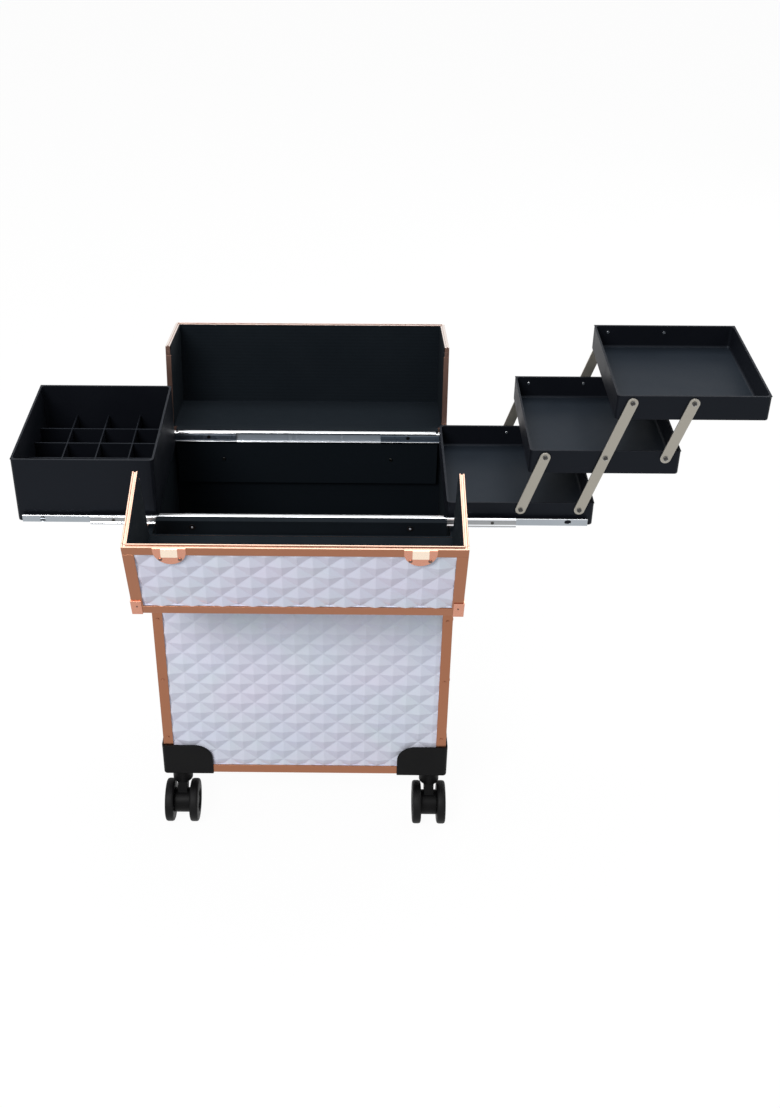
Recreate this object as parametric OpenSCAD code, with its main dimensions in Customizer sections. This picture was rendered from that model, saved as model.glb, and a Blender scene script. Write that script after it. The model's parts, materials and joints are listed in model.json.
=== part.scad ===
// Rolling makeup case with two split lids, a deep left tray and a fold-out stack of trays on the right.
// X runs to the right, Y to the back and Z up. The origin is on the floor, under the middle of the case.
// The case is drawn open, as it stands in use: both lids back and both sets of trays drawn out.

/* [Case] */
// Width over the frame, left to right
case_w = 350; // [345:1:400]
// Depth over the frame, front to back
case_d = 224; // [214:2:260]
// Height of the lower body, from its underside to the hinge line
body_h = 360.5; // [300:0.5:400]
// Height of the shut lids above the hinge line
lid_h = 103; // [102:1:130]
// Opening angle of the front lid as it stands
front_open = 106; // [100:0.5:112]
// Opening angle of the back lid as it stands
back_open = 100; // [96:0.5:106]

/* [Frame and panels] */
// Flange width of the aluminium angle bars
bar_w = 12; // [9:0.5:16]
// Thickness of the angle bars
bar_t = 1.5; // [1:0.1:2]
// Thickness of the body's panels
body_panel_t = 5; // [3:0.5:7]
// Thickness of the lids' panels
lid_panel_t = 4; // [3:0.5:5]
// Thickness of the black lining
lining_t = 1; // [0.5:0.1:1.5]
// Gap left at the hinge line and at the parting line of the lids
seam = 0.5; // [0.3:0.1:1]
// Hairline gap between neighbouring bars or panels
joint_gap = 0.2; // [0.1:0.05:0.4]
// Depth of the rim bars on the parting edges, along the lid
rim_d = 6; // [5:0.5:8]
// Width of the groove in the front lid's rim
groove_w = 2.4; // [1.6:0.2:3]
// Depth of that groove
groove_depth = 1.6; // [1:0.1:3]
// Clearance of the back lid's tongue in the groove
tongue_gap = 0.3; // [0.2:0.05:0.5]
// Width of the lids' corner caps
cap_w = 13; // [12.5:0.5:20]
// Length of the corner caps along the lids' sides
cap_l = 22; // [15:0.5:30]
// Thickness of the corner caps
cap_t = 1; // [0.6:0.1:1.5]
// Radius of the frame rivets' heads
frame_rivet_r = 2; // [1.2:0.1:3]
// Height of the frame rivets' heads
frame_rivet_h = 0.8; // [0.4:0.1:1.2]
// Number of rivets along each post
post_rivets = 4; // [2:1:6]

/* [Corner guards] */
// Width of a bottom corner guard
guard_w = 60; // [50:1:70]
// Height of a bottom corner guard
guard_h = 46; // [40:1:60]
// Thickness of the guards
guard_t = 2.5; // [2:0.1:3.5]
// Radius of a guard's rounded corner
guard_r = 22; // [10:1:30]

/* [Hinges] */
// Distance from the side of the case to the middle of a hinge
hinge_inset = 38; // [32:1:45]
// Length of a hinge
hinge_len = 50; // [40:1:60]
// Height of a hinge leaf
leaf_h = 11; // [8:0.5:12]
// Thickness of a hinge leaf
leaf_t = 1.5; // [1:0.1:2]
// Radius of the hinge knuckles
knuckle_r = 3; // [2.6:0.1:4]
// Radius of the hinge pins
hinge_pin_r = 1.5; // [1:0.1:1.8]
// Clearance between a knuckle and what turns beside it
hinge_gap = 0.3; // [0.2:0.05:0.5]
// Radial running clearance of every pin, rivet, stem and axle
run_gap = 0.05; // [0.02:0.01:0.1]

/* [Latches] */
// Distance from the side of the case to the middle of a latch
latch_inset = 48.5; // [35:0.5:80]
// Width of a keeper or latch base
keeper_w = 34; // [28:1:40]
// Length of a keeper along the lid
keeper_l = 25; // [24:1:28]
// Thickness of the latch plates
latch_t = 1.2; // [0.8:0.1:1.6]
// Length of the latch plates' straight sides
latch_side = 4; // [2:0.5:8]
// Distance of the keeper's rivets from its sides
keeper_rivet_x = 7; // [6:0.5:8]
// Distance of the keeper's rivets from its round end
keeper_rivet_y = 8; // [7:0.5:9]
// Width of the ears that hold a hasp's pin
ear_w = 3.7; // [2.5:0.1:4]
// Length of the hasp's hook
hook_l = 2; // [1:0.1:2.5]
// Width of the keeper's raised lip
lip_w = 17; // [12:0.5:20]
// Length of the raised lip
lip_l = 10; // [7:0.5:10]
// Height of the raised lip above its plate, at its catching edge
lip_h = 3.4; // [2:0.1:3.4]
// Height of the raised lip at the rim, where the hasp slides on
lip_low = 1; // [0.5:0.1:1.5]
// Length of the hasp from its pin
hasp_l = 24.5; // [24.5:0.5:28]
// Radius of the hasp's barrel
hasp_r = 2.4; // [2:0.1:3]
// Radius of the hasp's pin
hasp_pin_r = 1.2; // [0.8:0.1:1.5]

/* [Trays] */
// Width of the deep left tray
left_tray_w = 159; // [140:1:162]
// Height of the deep left tray
left_tray_h = 82; // [60:1:90]
// Width of each stacked tray on the right
stack_tray_w = 165; // [140:1:168]
// Height of each stacked tray
stack_tray_h = 29.5; // [26:0.5:30]
// Thickness of the tray walls
tray_wall = 2.2; // [1.6:0.1:3]
// Thickness of the tray floors
tray_floor = 2; // [1.5:0.1:3]
// Radius of the trays' upright corners
tray_r = 4; // [2:0.5:8]
// Radius of the trays' upright corners on the inside
tray_in_r = 1.8; // [0.6:0.2:5]
// Height of the tray floors above the hinge line
tray_lift = 3; // [2.5:0.5:4]
// Gap between a pushed-in tray and the lids' lining
end_gap = 3; // [2:0.5:5]
// How far the left tray is drawn out
left_out = 156.5; // [100:0.5:160]
// How far the right stack is drawn out
right_out = 163; // [100:0.5:165]

/* [Dividers] */
// Columns of cells in the left tray
div_cols = 4; // [2:1:6]
// Rows of cells in the left tray
div_rows = 5; // [2:1:6]
// Height of the dividers
div_h = 40; // [20:1:55]
// Thickness of the dividers
div_t = 1.6; // [1:0.1:2.5]
// Clearance of the dividers in their slots and at the tray's walls
div_gap = 0.2; // [0.1:0.05:0.4]

/* [Slides] */
// Thickness of the boards that carry the slides
board_t = 9; // [6:0.5:12]
// Distance of the boards' ends from the outside of the case
board_inset = 12; // [11:1:20]
// How far the boards reach down inside the body
board_drop = 60; // [40:1:90]
// Height of the fixed slide channel
slide_h = 16; // [14:0.5:18]
// Depth of a whole slide, from board to tray
slide_depth = 10; // [9:0.5:12]
// Sheet thickness of the slide members
slide_t = 1.2; // [0.8:0.1:1.5]
// Gap between nested slide members
slide_gap = 0.5; // [0.3:0.05:0.7]
// Height of the slides' middle line above the trays' underside
slide_lift = 6.5; // [6:0.5:9]
// Distance of the channel's ends from the outside of the case
channel_inset = 15; // [13:1:20]
// Length of a middle slide member
middle_l = 150; // [130:1:152]
// Length of an inner slide member
inner_l = 148; // [120:1:150]
// Distance from a tray's outer end to its slide
inner_inset = 6.5; // [4:0.5:12]
// Gap between the channel's lips and the tray beside it
lip_gap = 1; // [0.6:0.1:1.5]
// Distance from the side of the case to the slide screws
screw_inset = 53; // [35:1:95]
// Radius of the slide screws
screw_r = 2; // [1.5:0.1:2.5]
// Radius of the slide screws' heads
screw_head_r = 3.6; // [3:0.1:4.5]
// Height of the slide screws' heads
screw_head_h = 0.8; // [0.5:0.1:0.9]

/* [Folding stack] */
// Rise from one unfolded tray to the next
tier_rise = 69; // [55:1:80]
// Sideways step from one unfolded tray to the next
tier_step = 88; // [80:1:95]
// Gap between folded trays
stack_gap = 1; // [0.6:0.1:1.6]
// Width of the arms
arm_w = 11.6; // [9:0.2:12]
// Thickness of the arms
arm_t = 1.8; // [1.2:0.1:2.2]
// Gap between an arm and the tray wall beside it
arm_gap = 0.3; // [0.2:0.05:0.5]
// Depth of the pivots below the tray rims
pivot_drop = 8; // [7:0.5:10]
// Radius of the pivot rivets
rivet_r = 2; // [1.5:0.1:2.5]
// Radius of the pivot rivets' heads
rivet_head_r = 3.4; // [3:0.1:4.5]
// Height of the pivot rivets' heads
rivet_head_h = 1.1; // [0.6:0.1:1.6]

/* [Casters] */
// Height from the floor to the underside of the corner guards
caster_h = 78; // [76:0.5:95]
// Radius of the wheels
wheel_r = 27; // [22:0.5:28]
// Width of one wheel
wheel_w = 11; // [9:0.5:14]
// Radius of the wheels' rounded shoulders
shoulder_r = 3; // [2:0.5:4]
// Width of the hub between the two wheels
hub_w = 19.5; // [16:0.5:24]
// Radius of that hub
hub_r = 15.5; // [12:0.5:18]
// Distance from the swivel axis to the axle
trail = 13.5; // [12:0.5:20]
// Distance from the outside of the case to the swivel axis
caster_inset = 18; // [17:0.5:30]
// Radius of the axle
axle_r = 4; // [3:0.5:5]
// Radius of the axle's heads
axle_head_r = 6; // [5.5:0.5:8]
// Height of the axle's heads
axle_head_h = 1.5; // [1:0.1:2]
// Depth of the dish in the wheels' outer faces
dish_depth = 3; // [2.5:0.1:4]
// Radius of that dish
dish_r = 13.5; // [10:0.5:15]
// Widening of the dish towards the outer face
dish_flare = 1; // [0.5:0.1:2]
// Radius of the swivel stem
stem_r = 5; // [4:0.5:7]
// Radius of the caster's top plate
plate_r = 14; // [13:0.5:17]
// Thickness of the top plate
plate_t = 3; // [2:0.5:4]
// Gap between the wheels and the fork's crown above them
crown_gap = 1.5; // [1:0.1:4]
// Radius of the crown
crown_r = 12.5; // [11:0.5:16]
// Width of the fork between hub and crown
fork_w = 12; // [10:0.5:15]
// Reach of the fork to each side of the swivel, under the crown
fork_reach = 10; // [8:0.5:10.5]
// Reach of the fork's rear edge at half height
fork_waist = 5.5; // [3:0.5:8]
// Reach of the fork to each side of the axle
fork_low = 9; // [7:0.5:9]
// Side clearance of the wheels and the swivel
wheel_gap = 0.3; // [0.2:0.05:0.5]

/* [Pull handle] */
// Distance of each handle tube from the middle of the case
handle_x = 84; // [60:1:88]
// Outer radius of the fixed tubes
tube_r = 9; // [8:0.5:11]
// Wall thickness of the fixed tubes
tube_wall = 1.7; // [1.2:0.1:2.5]
// Length of the fixed tubes
tube_l = 240; // [160:1:250]
// Width of a tube bracket
bracket_w = 30; // [26:1:36]
// Height of a tube bracket
bracket_h = 26; // [16:1:40]
// Material behind the tube in its bracket
bracket_back = 4; // [3:0.5:6]
// Material in front of the tube in its bracket
bracket_front = 2; // [1:0.5:3]
// Height of the pushed-in grip's middle above the tubes' upper end
grip_rise = 14; // [12:1:20]
// Radius of the grip bar
grip_r = 10; // [10:0.5:12]
// Distance from the top of the pushed-in grip to the hinge line
grip_drop = 40; // [36:1:60]
// Wall of the grip's sockets around the rods
socket_wall = 2; // [1.5:0.1:2.5]
// Gap between a socket and the tube below it
socket_gap = 0.6; // [0.4:0.1:1.5]
// Length of the release button
button_l = 30; // [20:1:40]
// Width of the release button
button_w = 10; // [8:0.5:12]
// Height of the release button
button_h = 9; // [7:0.5:9]
// How far the button stands out of the grip
button_rise = 2; // [1.5:0.5:3]
// Side clearance of the button in the grip
button_gap = 0.2; // [0.1:0.05:0.4]

/* [Hidden] */
$fn = 48;
arc_step = 7.5;
cut = 1;
half_w = case_w / 2;
half_d = case_d / 2;
body_z = caster_h + guard_t;
hinge_z = body_z + body_h;
body_top = hinge_z - seam;
body_wall = bar_t + body_panel_t + lining_t;
rim_t = bar_t + lid_panel_t;
lid_wall = rim_t + lining_t;
hinge_x = half_w - hinge_inset;
latch_x = half_w - latch_inset;
screw_x = half_w - screw_inset;

// Lid sizes, in a frame on the hinge axis with Y inwards and Z up when shut
hinge_off = knuckle_r + hinge_gap;
hinge_y = half_d + hinge_off;
knuckle_count = 5;
lid_u0 = hinge_off;
lid_u1 = hinge_off + half_d - seam / 2;
lid_v0 = seam;
lid_v1 = lid_h;
tongue_w = groove_w - 2 * tongue_gap;
tongue_l = groove_depth - tongue_gap;
pin_u = lid_u1 - keeper_l / 2;
pin_v = lid_v1 + latch_t + hasp_r;
hasp_w = lip_w;
hasp_hang = 270 - back_open;

// Slide and tray places
board_y = half_d - body_wall - board_t;
tray_d = 2 * (board_y - slide_depth);
tray_z = hinge_z + tray_lift;
slide_z = tray_z + slide_lift;
board_top = slide_z + slide_h / 2;
board_x = half_w - board_inset;
channel_x = half_w - channel_inset;
tray_end = half_w - lid_wall - end_gap;
left_x0 = -tray_end - left_out;
right_x1 = tray_end + right_out;
right_x0 = right_x1 - stack_tray_w;
middle_h = slide_h - 2 * (slide_t + slide_gap);
inner_h = middle_h - 2 * (slide_t + slide_gap);
inner_y = board_y - slide_depth;
channel_lip_y = inner_y + lip_gap;
middle_y = board_y - slide_t - slide_gap;
middle_lip_y = inner_y + slide_t + slide_gap;
inner_lip_y = middle_y - slide_t - slide_gap;

// Folding stack: the arm length and pivot spacing that fold the tiers flat, one above the other
stack_pitch = stack_tray_h + stack_gap;
pivot_step = (pow(tier_rise, 2) + pow(tier_step, 2) - pow(stack_pitch, 2)) / (2 * tier_step);
arm_l = norm([pivot_step, stack_pitch]);
arm_lean = atan2(tier_rise, tier_step - pivot_step);
pivot_mid = right_x0 + stack_tray_w / 2;
pivot_z = tray_z + stack_tray_h - pivot_drop;
arm_y = tray_d / 2 + arm_gap;

// Caster places
fork_top = caster_h - plate_t - wheel_gap;
wheel_x = hub_w / 2 + wheel_gap;

// Handle places
tube_y = half_d - bar_t + bracket_back + tube_r;
grip_z = hinge_z - grip_drop - grip_r;
tube_top = grip_z - grip_rise;
tube_z = tube_top - tube_l;
tube_bore_r = tube_r - tube_wall;
rod_r = tube_bore_r - run_gap;
socket_r = rod_r + socket_wall;

rose_gold = "#c58a6c";
pearl_white = "#e9e7ee";
lining_black = "#17181b";
tray_black = "#22252a";
zinc = "#c9ccd1";
nickel = "#b5b2a8";
plastic_black = "#1b1b1d";

// A block between two opposite corners
module block(lo, hi) {
    translate(lo) cube(hi - lo);
}

// A round bar along X from x0 to x1 at height z and depth y
module bar_x(x0, x1, y, z, r) {
    translate([x0, y, z]) rotate([0, 90, 0]) cylinder(r = r, h = x1 - x0);
}

// A round bar along Y, outwards from the middle plane on side s, between distances y0 and y1
module bar_y(s, x, z, y0, y1, r) {
    translate([x, s * y0, z]) rotate([-90 * s, 0, 0]) cylinder(r = r, h = y1 - y0);
}

// An upright block with round corners, its lower left front corner at the origin
module rounded_block(w, d, h, r) {
    translate([r, 0, 0]) cube([w - 2 * r, d, h]);
    translate([0, r, 0]) cube([w, d - 2 * r, h]);
    for (x = [r, w - r], y = [r, d - r]) translate([x, y, 0]) cylinder(r = r, h = h);
}

// The skin of the lower body's edges, cut open over each face and at the mouth
module body_edges() {
    lo = [-half_w, -half_d, body_z];
    hi = [half_w, half_d, body_top];
    t = [bar_t, bar_t, bar_t];
    difference() {
        block(lo, hi);
        block(lo + t, hi - t);
        block(lo + [-cut, bar_w, bar_w], hi + [cut, -bar_w, -bar_w]);
        block(lo + [bar_w, -cut, bar_w], hi + [-bar_w, cut, -bar_w]);
        block(lo + [bar_w, bar_w, -cut], [half_w - bar_w, half_d - bar_w, body_z + bar_w]);
        block([body_wall - half_w, body_wall - half_d, body_top - bar_w], hi + [-body_wall, -body_wall, cut]);
    }
}

// The four bars of one level of the body's frame
module body_ring(z0, z1) {
    side_y = half_d - bar_w - joint_gap;
    for (s = [-1, 1]) {
        intersection() {
            body_edges();
            block([-case_w, s * half_d - bar_w, z0], [case_w, s * half_d + bar_w, z1]);
        }
        intersection() {
            body_edges();
            block([s * half_w - bar_w, -side_y, z0], [s * half_w + bar_w, side_y, z1]);
        }
    }
}

module base_rails() {
    color(rose_gold) body_ring(body_z - cut, body_z + bar_w);
}

module top_rails() {
    color(rose_gold) body_ring(body_top - bar_w, body_top + cut);
}

module corner_posts() {
    color(rose_gold) intersection() {
        body_edges();
        block([-case_w, -case_d, body_z + bar_w], [case_w, case_d, body_top - bar_w]);
    }
}

// A body panel across the front or back, behind the frame on side s
module wide_panel(s) {
    x = half_w - bar_t;
    y = half_d - bar_t;
    color(pearl_white) block(
        [-x, min(s * y, s * (y - body_panel_t)), body_z + bar_t + body_panel_t],
        [x, max(s * y, s * (y - body_panel_t)), body_top - bar_t]
    );
}

// A body panel on the left or right, behind the frame on side s
module side_panel(s) {
    x = half_w - bar_t;
    y = half_d - bar_t - body_panel_t;
    color(pearl_white) block(
        [min(s * x, s * (x - body_panel_t)), -y, body_z + bar_t + body_panel_t],
        [max(s * x, s * (x - body_panel_t)), y, body_top - bar_t]
    );
}

module front_panel() {
    wide_panel(-1);
}

module back_panel() {
    wide_panel(1);
}

module left_panel() {
    side_panel(-1);
}

module right_panel() {
    side_panel(1);
}

module bottom_panel() {
    x = half_w - bar_t;
    y = half_d - bar_t;
    color(pearl_white) block([-x, -y, body_z + bar_t], [x, y, body_z + bar_t + body_panel_t]);
}

module case_lining() {
    x = half_w - bar_t - body_panel_t;
    y = half_d - bar_t - body_panel_t;
    z = body_z + bar_t + body_panel_t;
    color(lining_black) difference() {
        block([-x, -y, z], [x, y, body_top - bar_t]);
        block([lining_t - x, lining_t - y, z + lining_t], [x - lining_t, y - lining_t, hinge_z + cut]);
    }
}

// Low rivet heads along the outer faces of the posts, between the guards and the top rails
module frame_rivets() {
    z0 = body_z + guard_h + bar_w;
    z1 = body_top - 2 * bar_w;
    step = (z1 - z0) / (post_rivets - 1);
    color(rose_gold) for (sx = [-1, 1], sy = [-1, 1], i = [0 : post_rivets - 1]) {
        z = z0 + i * step;
        bar_y(sy, sx * (half_w - bar_w / 2), z, half_d, half_d + frame_rivet_h, frame_rivet_r);
        translate([sx * half_w, sy * (half_d - bar_w / 2), z]) rotate([0, 90 * sx, 0])
            cylinder(r = frame_rivet_r, h = frame_rivet_h);
    }
}

// Outline of one guard plate: square at the corner of the case, rounded at the far corner
module guard_outline(w, h) {
    polygon(concat(
        [[-guard_t, -guard_t], [w, -guard_t]],
        [for (a = [0 : arc_step : 90]) [w - guard_r + guard_r * cos(a), h - guard_r + guard_r * sin(a)]],
        [[-guard_t, h]]
    ));
}

// One corner guard, with the corner of the case at the origin and the case in the positive octant
module guard() {
    rotate([90, 0, 0]) linear_extrude(guard_t) guard_outline(guard_w, guard_h);
    mirror([1, -1, 0]) rotate([90, 0, 0]) linear_extrude(guard_t) guard_outline(guard_w, guard_h);
    translate([0, 0, -guard_t]) linear_extrude(guard_t) guard_outline(guard_w, guard_w);
}

// Puts a shape made for the left front corner of the base at the corner on sides sx and sy
module at_base_corner(sx, sy) {
    mirror([sx > 0 ? 1 : 0, 0, 0]) mirror([0, sy > 0 ? 1 : 0, 0])
        translate([-half_w, -half_d, body_z]) children();
}

module corner_guards() {
    color(plastic_black) for (sx = [-1, 1], sy = [-1, 1]) at_base_corner(sx, sy) guard();
}

module caster_plates() {
    color(plastic_black) for (sx = [-1, 1], sy = [-1, 1])
        translate([sx * (half_w - caster_inset), sy * (half_d - caster_inset), caster_h - plate_t])
            difference() {
                cylinder(r = plate_r, h = plate_t);
                translate([0, 0, -cut]) cylinder(r = stem_r + run_gap, h = plate_t + 2 * cut);
            }
}

// Boards inside the front and back walls that rise above the hinge line to carry the slides
module slide_boards() {
    color(lining_black) for (s = [-1, 1]) difference() {
        block(
            [-board_x, min(s * board_y, s * (board_y + board_t)), hinge_z - board_drop],
            [board_x, max(s * board_y, s * (board_y + board_t)), board_top]
        );
        for (x = [-screw_x, screw_x])
            bar_y(s, x, slide_z, board_y - cut, board_y + board_t + cut, screw_r + run_gap);
    }
}

// A slide member: a C section on side s from x0 to x1, its web at depth y0 and its lips reaching to y1
module slide_member(s, x0, x1, y0, y1, h) {
    web = y0 > y1 ? -slide_t : slide_t;
    z0 = slide_z - h / 2;
    z1 = slide_z + h / 2;
    lo = min(y0, y1);
    hi = max(y0, y1);
    difference() {
        block([x0, min(s * lo, s * hi), z0], [x1, max(s * lo, s * hi), z1]);
        block(
            [x0 - cut, min(s * (y0 + web), s * (y1 + sign(web) * cut)), z0 + slide_t],
            [x1 + cut, max(s * (y0 + web), s * (y1 + sign(web) * cut)), z1 - slide_t]
        );
    }
}

module slide_channels() {
    color(zinc) for (s = [-1, 1]) difference() {
        slide_member(s, -channel_x, channel_x, board_y, channel_lip_y, slide_h);
        for (x = [-screw_x, screw_x])
            bar_y(s, x, slide_z, board_y - slide_t - cut, board_y + cut, screw_r + run_gap);
    }
}

module slide_screws() {
    outer = board_y + board_t;
    color(zinc) for (s = [-1, 1], x = [-screw_x, screw_x]) {
        bar_y(s, x, slide_z, board_y - slide_t, outer, screw_r);
        bar_y(s, x, slide_z, outer, outer + screw_head_h, screw_head_r);
    }
}

// Middle members of one side: pulled half as far out as the tray
module slide_middles(side, out) {
    end = channel_x + out / 2;
    color(zinc) for (s = [-1, 1])
        slide_member(s, side > 0 ? end - middle_l : -end, side > 0 ? end : middle_l - end,
            middle_y, middle_lip_y, middle_h);
}

// Inner members of one side, fixed to the tray
module tray_slides(side, out) {
    end = tray_end + out - inner_inset;
    color(zinc) for (s = [-1, 1])
        slide_member(s, side > 0 ? end - inner_l : -end, side > 0 ? end : inner_l - end,
            inner_y, inner_lip_y, inner_h);
}

module left_slide_middles() {
    slide_middles(-1, left_out);
}

module right_slide_middles() {
    slide_middles(1, right_out);
}

module left_tray_slides() {
    tray_slides(-1, left_out);
}

module bottom_tray_slides() {
    tray_slides(1, right_out);
}

// An open tray whose lower left front corner is at the origin
module tray_shell(w, h) {
    difference() {
        rounded_block(w, tray_d, h, tray_r);
        translate([tray_wall, tray_wall, tray_floor])
            rounded_block(w - 2 * tray_wall, tray_d - 2 * tray_wall, h, tray_in_r);
    }
}

module left_tray() {
    color(tray_black) translate([left_x0, -tray_d / 2, tray_z]) tray_shell(left_tray_w, left_tray_h);
}

// Divider plates that cross at half-depth slots
module left_tray_dividers() {
    in_w = left_tray_w - 2 * tray_wall;
    in_d = tray_d - 2 * tray_wall;
    slot = div_t + 2 * div_gap;
    color(tray_black) translate([left_x0 + tray_wall, -in_d / 2, tray_z + tray_floor]) {
        for (i = [1 : div_cols - 1]) difference() {
            translate([i * in_w / div_cols - div_t / 2, div_gap, 0]) cube([div_t, in_d - 2 * div_gap, div_h]);
            for (j = [1 : div_rows - 1])
                translate([0, j * in_d / div_rows - slot / 2, div_h / 2]) cube([in_w, slot, div_h]);
        }
        for (j = [1 : div_rows - 1]) difference() {
            translate([div_gap, j * in_d / div_rows - div_t / 2, 0]) cube([in_w - 2 * div_gap, div_t, div_h]);
            for (i = [1 : div_cols - 1])
                translate([i * in_w / div_cols - slot / 2, 0, div_gap - div_h / 2])
                    cube([slot, in_d, div_h]);
        }
    }
}

// One tray of the stack on tier 0, 1 or 2, with rivet holes at the given pivots
module stack_tray(tier, pivots) {
    dx = tier * tier_step;
    dz = tier * tier_rise;
    color(tray_black) difference() {
        translate([right_x0 + dx, -tray_d / 2, tray_z + dz]) tray_shell(stack_tray_w, stack_tray_h);
        for (s = [-1, 1], p = pivots)
            bar_y(s, pivot_mid + dx + p * pivot_step, pivot_z + dz,
                tray_d / 2 - tray_wall - cut, tray_d / 2 + cut, rivet_r + run_gap);
    }
}

module bottom_tray() {
    stack_tray(0, [0, 1]);
}

module middle_tray() {
    stack_tray(1, [-1, 0, 1]);
}

module top_tray() {
    stack_tray(2, [-1, 0]);
}

// A rivet through an arm and a tray wall on side s
module pivot_rivet(s, x, z) {
    inner = tray_d / 2 - tray_wall - arm_gap;
    outer = arm_y + arm_t + run_gap;
    bar_y(s, x, z, inner - rivet_head_h, inner, rivet_head_r);
    bar_y(s, x, z, inner - run_gap, outer + run_gap, rivet_r);
    bar_y(s, x, z, outer, outer + rivet_head_h, rivet_head_r);
}

// A pair of arms with round ends from a pivot on the given tier, long enough for a number of tiers
module arm_pair(tier, pivot, tiers) {
    x = pivot_mid + tier * tier_step + pivot * pivot_step;
    z = pivot_z + tier * tier_rise;
    color(nickel) for (s = [-1, 1]) {
        difference() {
            translate([x, s > 0 ? arm_y : -arm_y - arm_t, z]) rotate([0, -arm_lean, 0]) {
                translate([0, 0, -arm_w / 2]) cube([tiers * arm_l, arm_t, arm_w]);
                for (i = [0, tiers]) translate([i * arm_l, 0, 0]) rotate([-90, 0, 0])
                    cylinder(r = arm_w / 2, h = arm_t);
            }
            for (i = [0 : tiers])
                bar_y(s, x + i * arm_l * cos(arm_lean), z + i * arm_l * sin(arm_lean),
                    arm_y - cut, arm_y + arm_t + cut, rivet_r + run_gap);
        }
        for (i = [0 : tiers]) pivot_rivet(s, x + i * arm_l * cos(arm_lean), z + i * arm_l * sin(arm_lean));
    }
}

module long_arms() {
    arm_pair(0, 1, 2);
}

module lower_arms() {
    arm_pair(0, 0, 1);
}

module upper_arms() {
    arm_pair(1, 1, 1);
}

// Puts a shape made in the shut lid's frame where the open front lid stands
module at_front_lid() {
    translate([0, -hinge_y, hinge_z]) rotate([front_open, 0, 0]) children();
}

// The same for the back lid, which is the front one turned round
module at_back_lid() {
    translate([0, hinge_y, hinge_z]) rotate([0, 0, 180]) rotate([back_open, 0, 0]) children();
}

// The skin of a lid's edges, open below and at the parting edge
module lid_edges() {
    lo = [-half_w, lid_u0, lid_v0];
    hi = [half_w, lid_u1, lid_v1];
    difference() {
        block(lo, hi);
        block(lo + [bar_t, bar_t, bar_t], hi + [-bar_t, cut, -bar_t]);
        block(lo + [-cut, bar_w, bar_w], hi + [cut, cut, -bar_w]);
        block(lo + [bar_w, -cut, bar_w], hi + [-bar_w, cut, -bar_w]);
        block(lo + [bar_w, bar_w, bar_w], hi + [-bar_w, cut, cut]);
        block(lo + [lid_wall, lid_wall, -cut], hi + [-lid_wall, cut, -bar_w]);
    }
}

// Angle bars of a lid: two across, two upright and two along each side
module lid_frame() {
    w = half_w + cut;
    front = lid_u0 + bar_w;
    side0 = front + joint_gap;
    side1 = lid_u1 - bar_w - joint_gap;
    low = lid_v0 + bar_w;
    high = lid_v1 - bar_w;
    regions = [
        [[-w, lid_u0 - cut, high], [w, front, lid_v1 + cut]],
        [[-w, lid_u0 - cut, lid_v0 - cut], [w, front, low]],
        [[-w, lid_u0 - cut, low + joint_gap], [w, front, high - joint_gap]],
        [[-w, side0, high], [w, side1, lid_v1 + cut]],
        [[-w, side0, lid_v0 - cut], [w, side1, low]]
    ];
    color(rose_gold) for (r = regions) intersection() {
        lid_edges();
        block(r[0], r[1]);
    }
}

// Top, face and side panels of a lid
module lid_panels() {
    x = half_w - bar_t;
    u = lid_u0 + bar_t;
    rim_u = lid_u1 - rim_d;
    v = lid_v1 - bar_t;
    under = v - lid_panel_t - joint_gap;
    color(pearl_white) {
        block([-x, u, v - lid_panel_t], [x, rim_u, v]);
        block([-x, u, lid_v0 + bar_t], [x, u + lid_panel_t, under]);
        for (s = [-1, 1])
            block(
                [min(s * x, s * (x - lid_panel_t)), u + lid_panel_t + joint_gap, lid_v0 + bar_t],
                [max(s * x, s * (x - lid_panel_t)), rim_u, under]
            );
    }
}

module lid_lining() {
    x = half_w - rim_t;
    u = lid_u0 + rim_t;
    v = lid_v1 - rim_t - joint_gap;
    color(lining_black) difference() {
        block([-x, u, lid_v0 + bar_t], [x, lid_u1 - seam, v]);
        block([lining_t - x, u + lining_t, lid_v0 - cut], [x - lining_t, lid_u1, v - lining_t]);
    }
}

// The rim along the parting edge: one bar across and one down each side
module rim_bars() {
    flange = lid_u1 - bar_w;
    web = lid_u1 - rim_d;
    block([-half_w, web, lid_v1 - rim_t], [half_w, lid_u1, lid_v1]);
    block([-half_w, flange, lid_v1 - bar_t], [half_w, web, lid_v1]);
    for (s = [-1, 1]) {
        block(
            [min(s * half_w, s * (half_w - rim_t)), web, lid_v0],
            [max(s * half_w, s * (half_w - rim_t)), lid_u1, lid_v1 - rim_t - joint_gap]
        );
        block(
            [min(s * half_w, s * (half_w - bar_t)), flange, lid_v0],
            [max(s * half_w, s * (half_w - bar_t)), web, lid_v1 - rim_t - joint_gap]
        );
    }
}

// A three-sided run along the middle of the rim, used for the groove and for the tongue
module rim_run(w, u0, u1) {
    mid = rim_t / 2;
    x = half_w - mid + w / 2;
    block([-x, u0, lid_v1 - mid - w / 2], [x, u1, lid_v1 - mid + w / 2]);
    for (s = [-1, 1])
        block([min(s * x, s * (x - w)), u0, lid_v0 - cut], [max(s * x, s * (x - w)), u1, lid_v1 - mid]);
}

// The tongue is cut at the same joints as the bars that carry it
module rim_tongue() {
    difference() {
        rim_run(tongue_w, lid_u1, lid_u1 + tongue_l);
        block([-case_w, lid_u1 - cut, lid_v0 - 2 * cut], [case_w, lid_u1 + groove_depth, lid_v0]);
        block(
            [-case_w, lid_u1 - cut, lid_v1 - rim_t - joint_gap],
            [case_w, lid_u1 + groove_depth, lid_v1 - rim_t]
        );
    }
}

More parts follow.
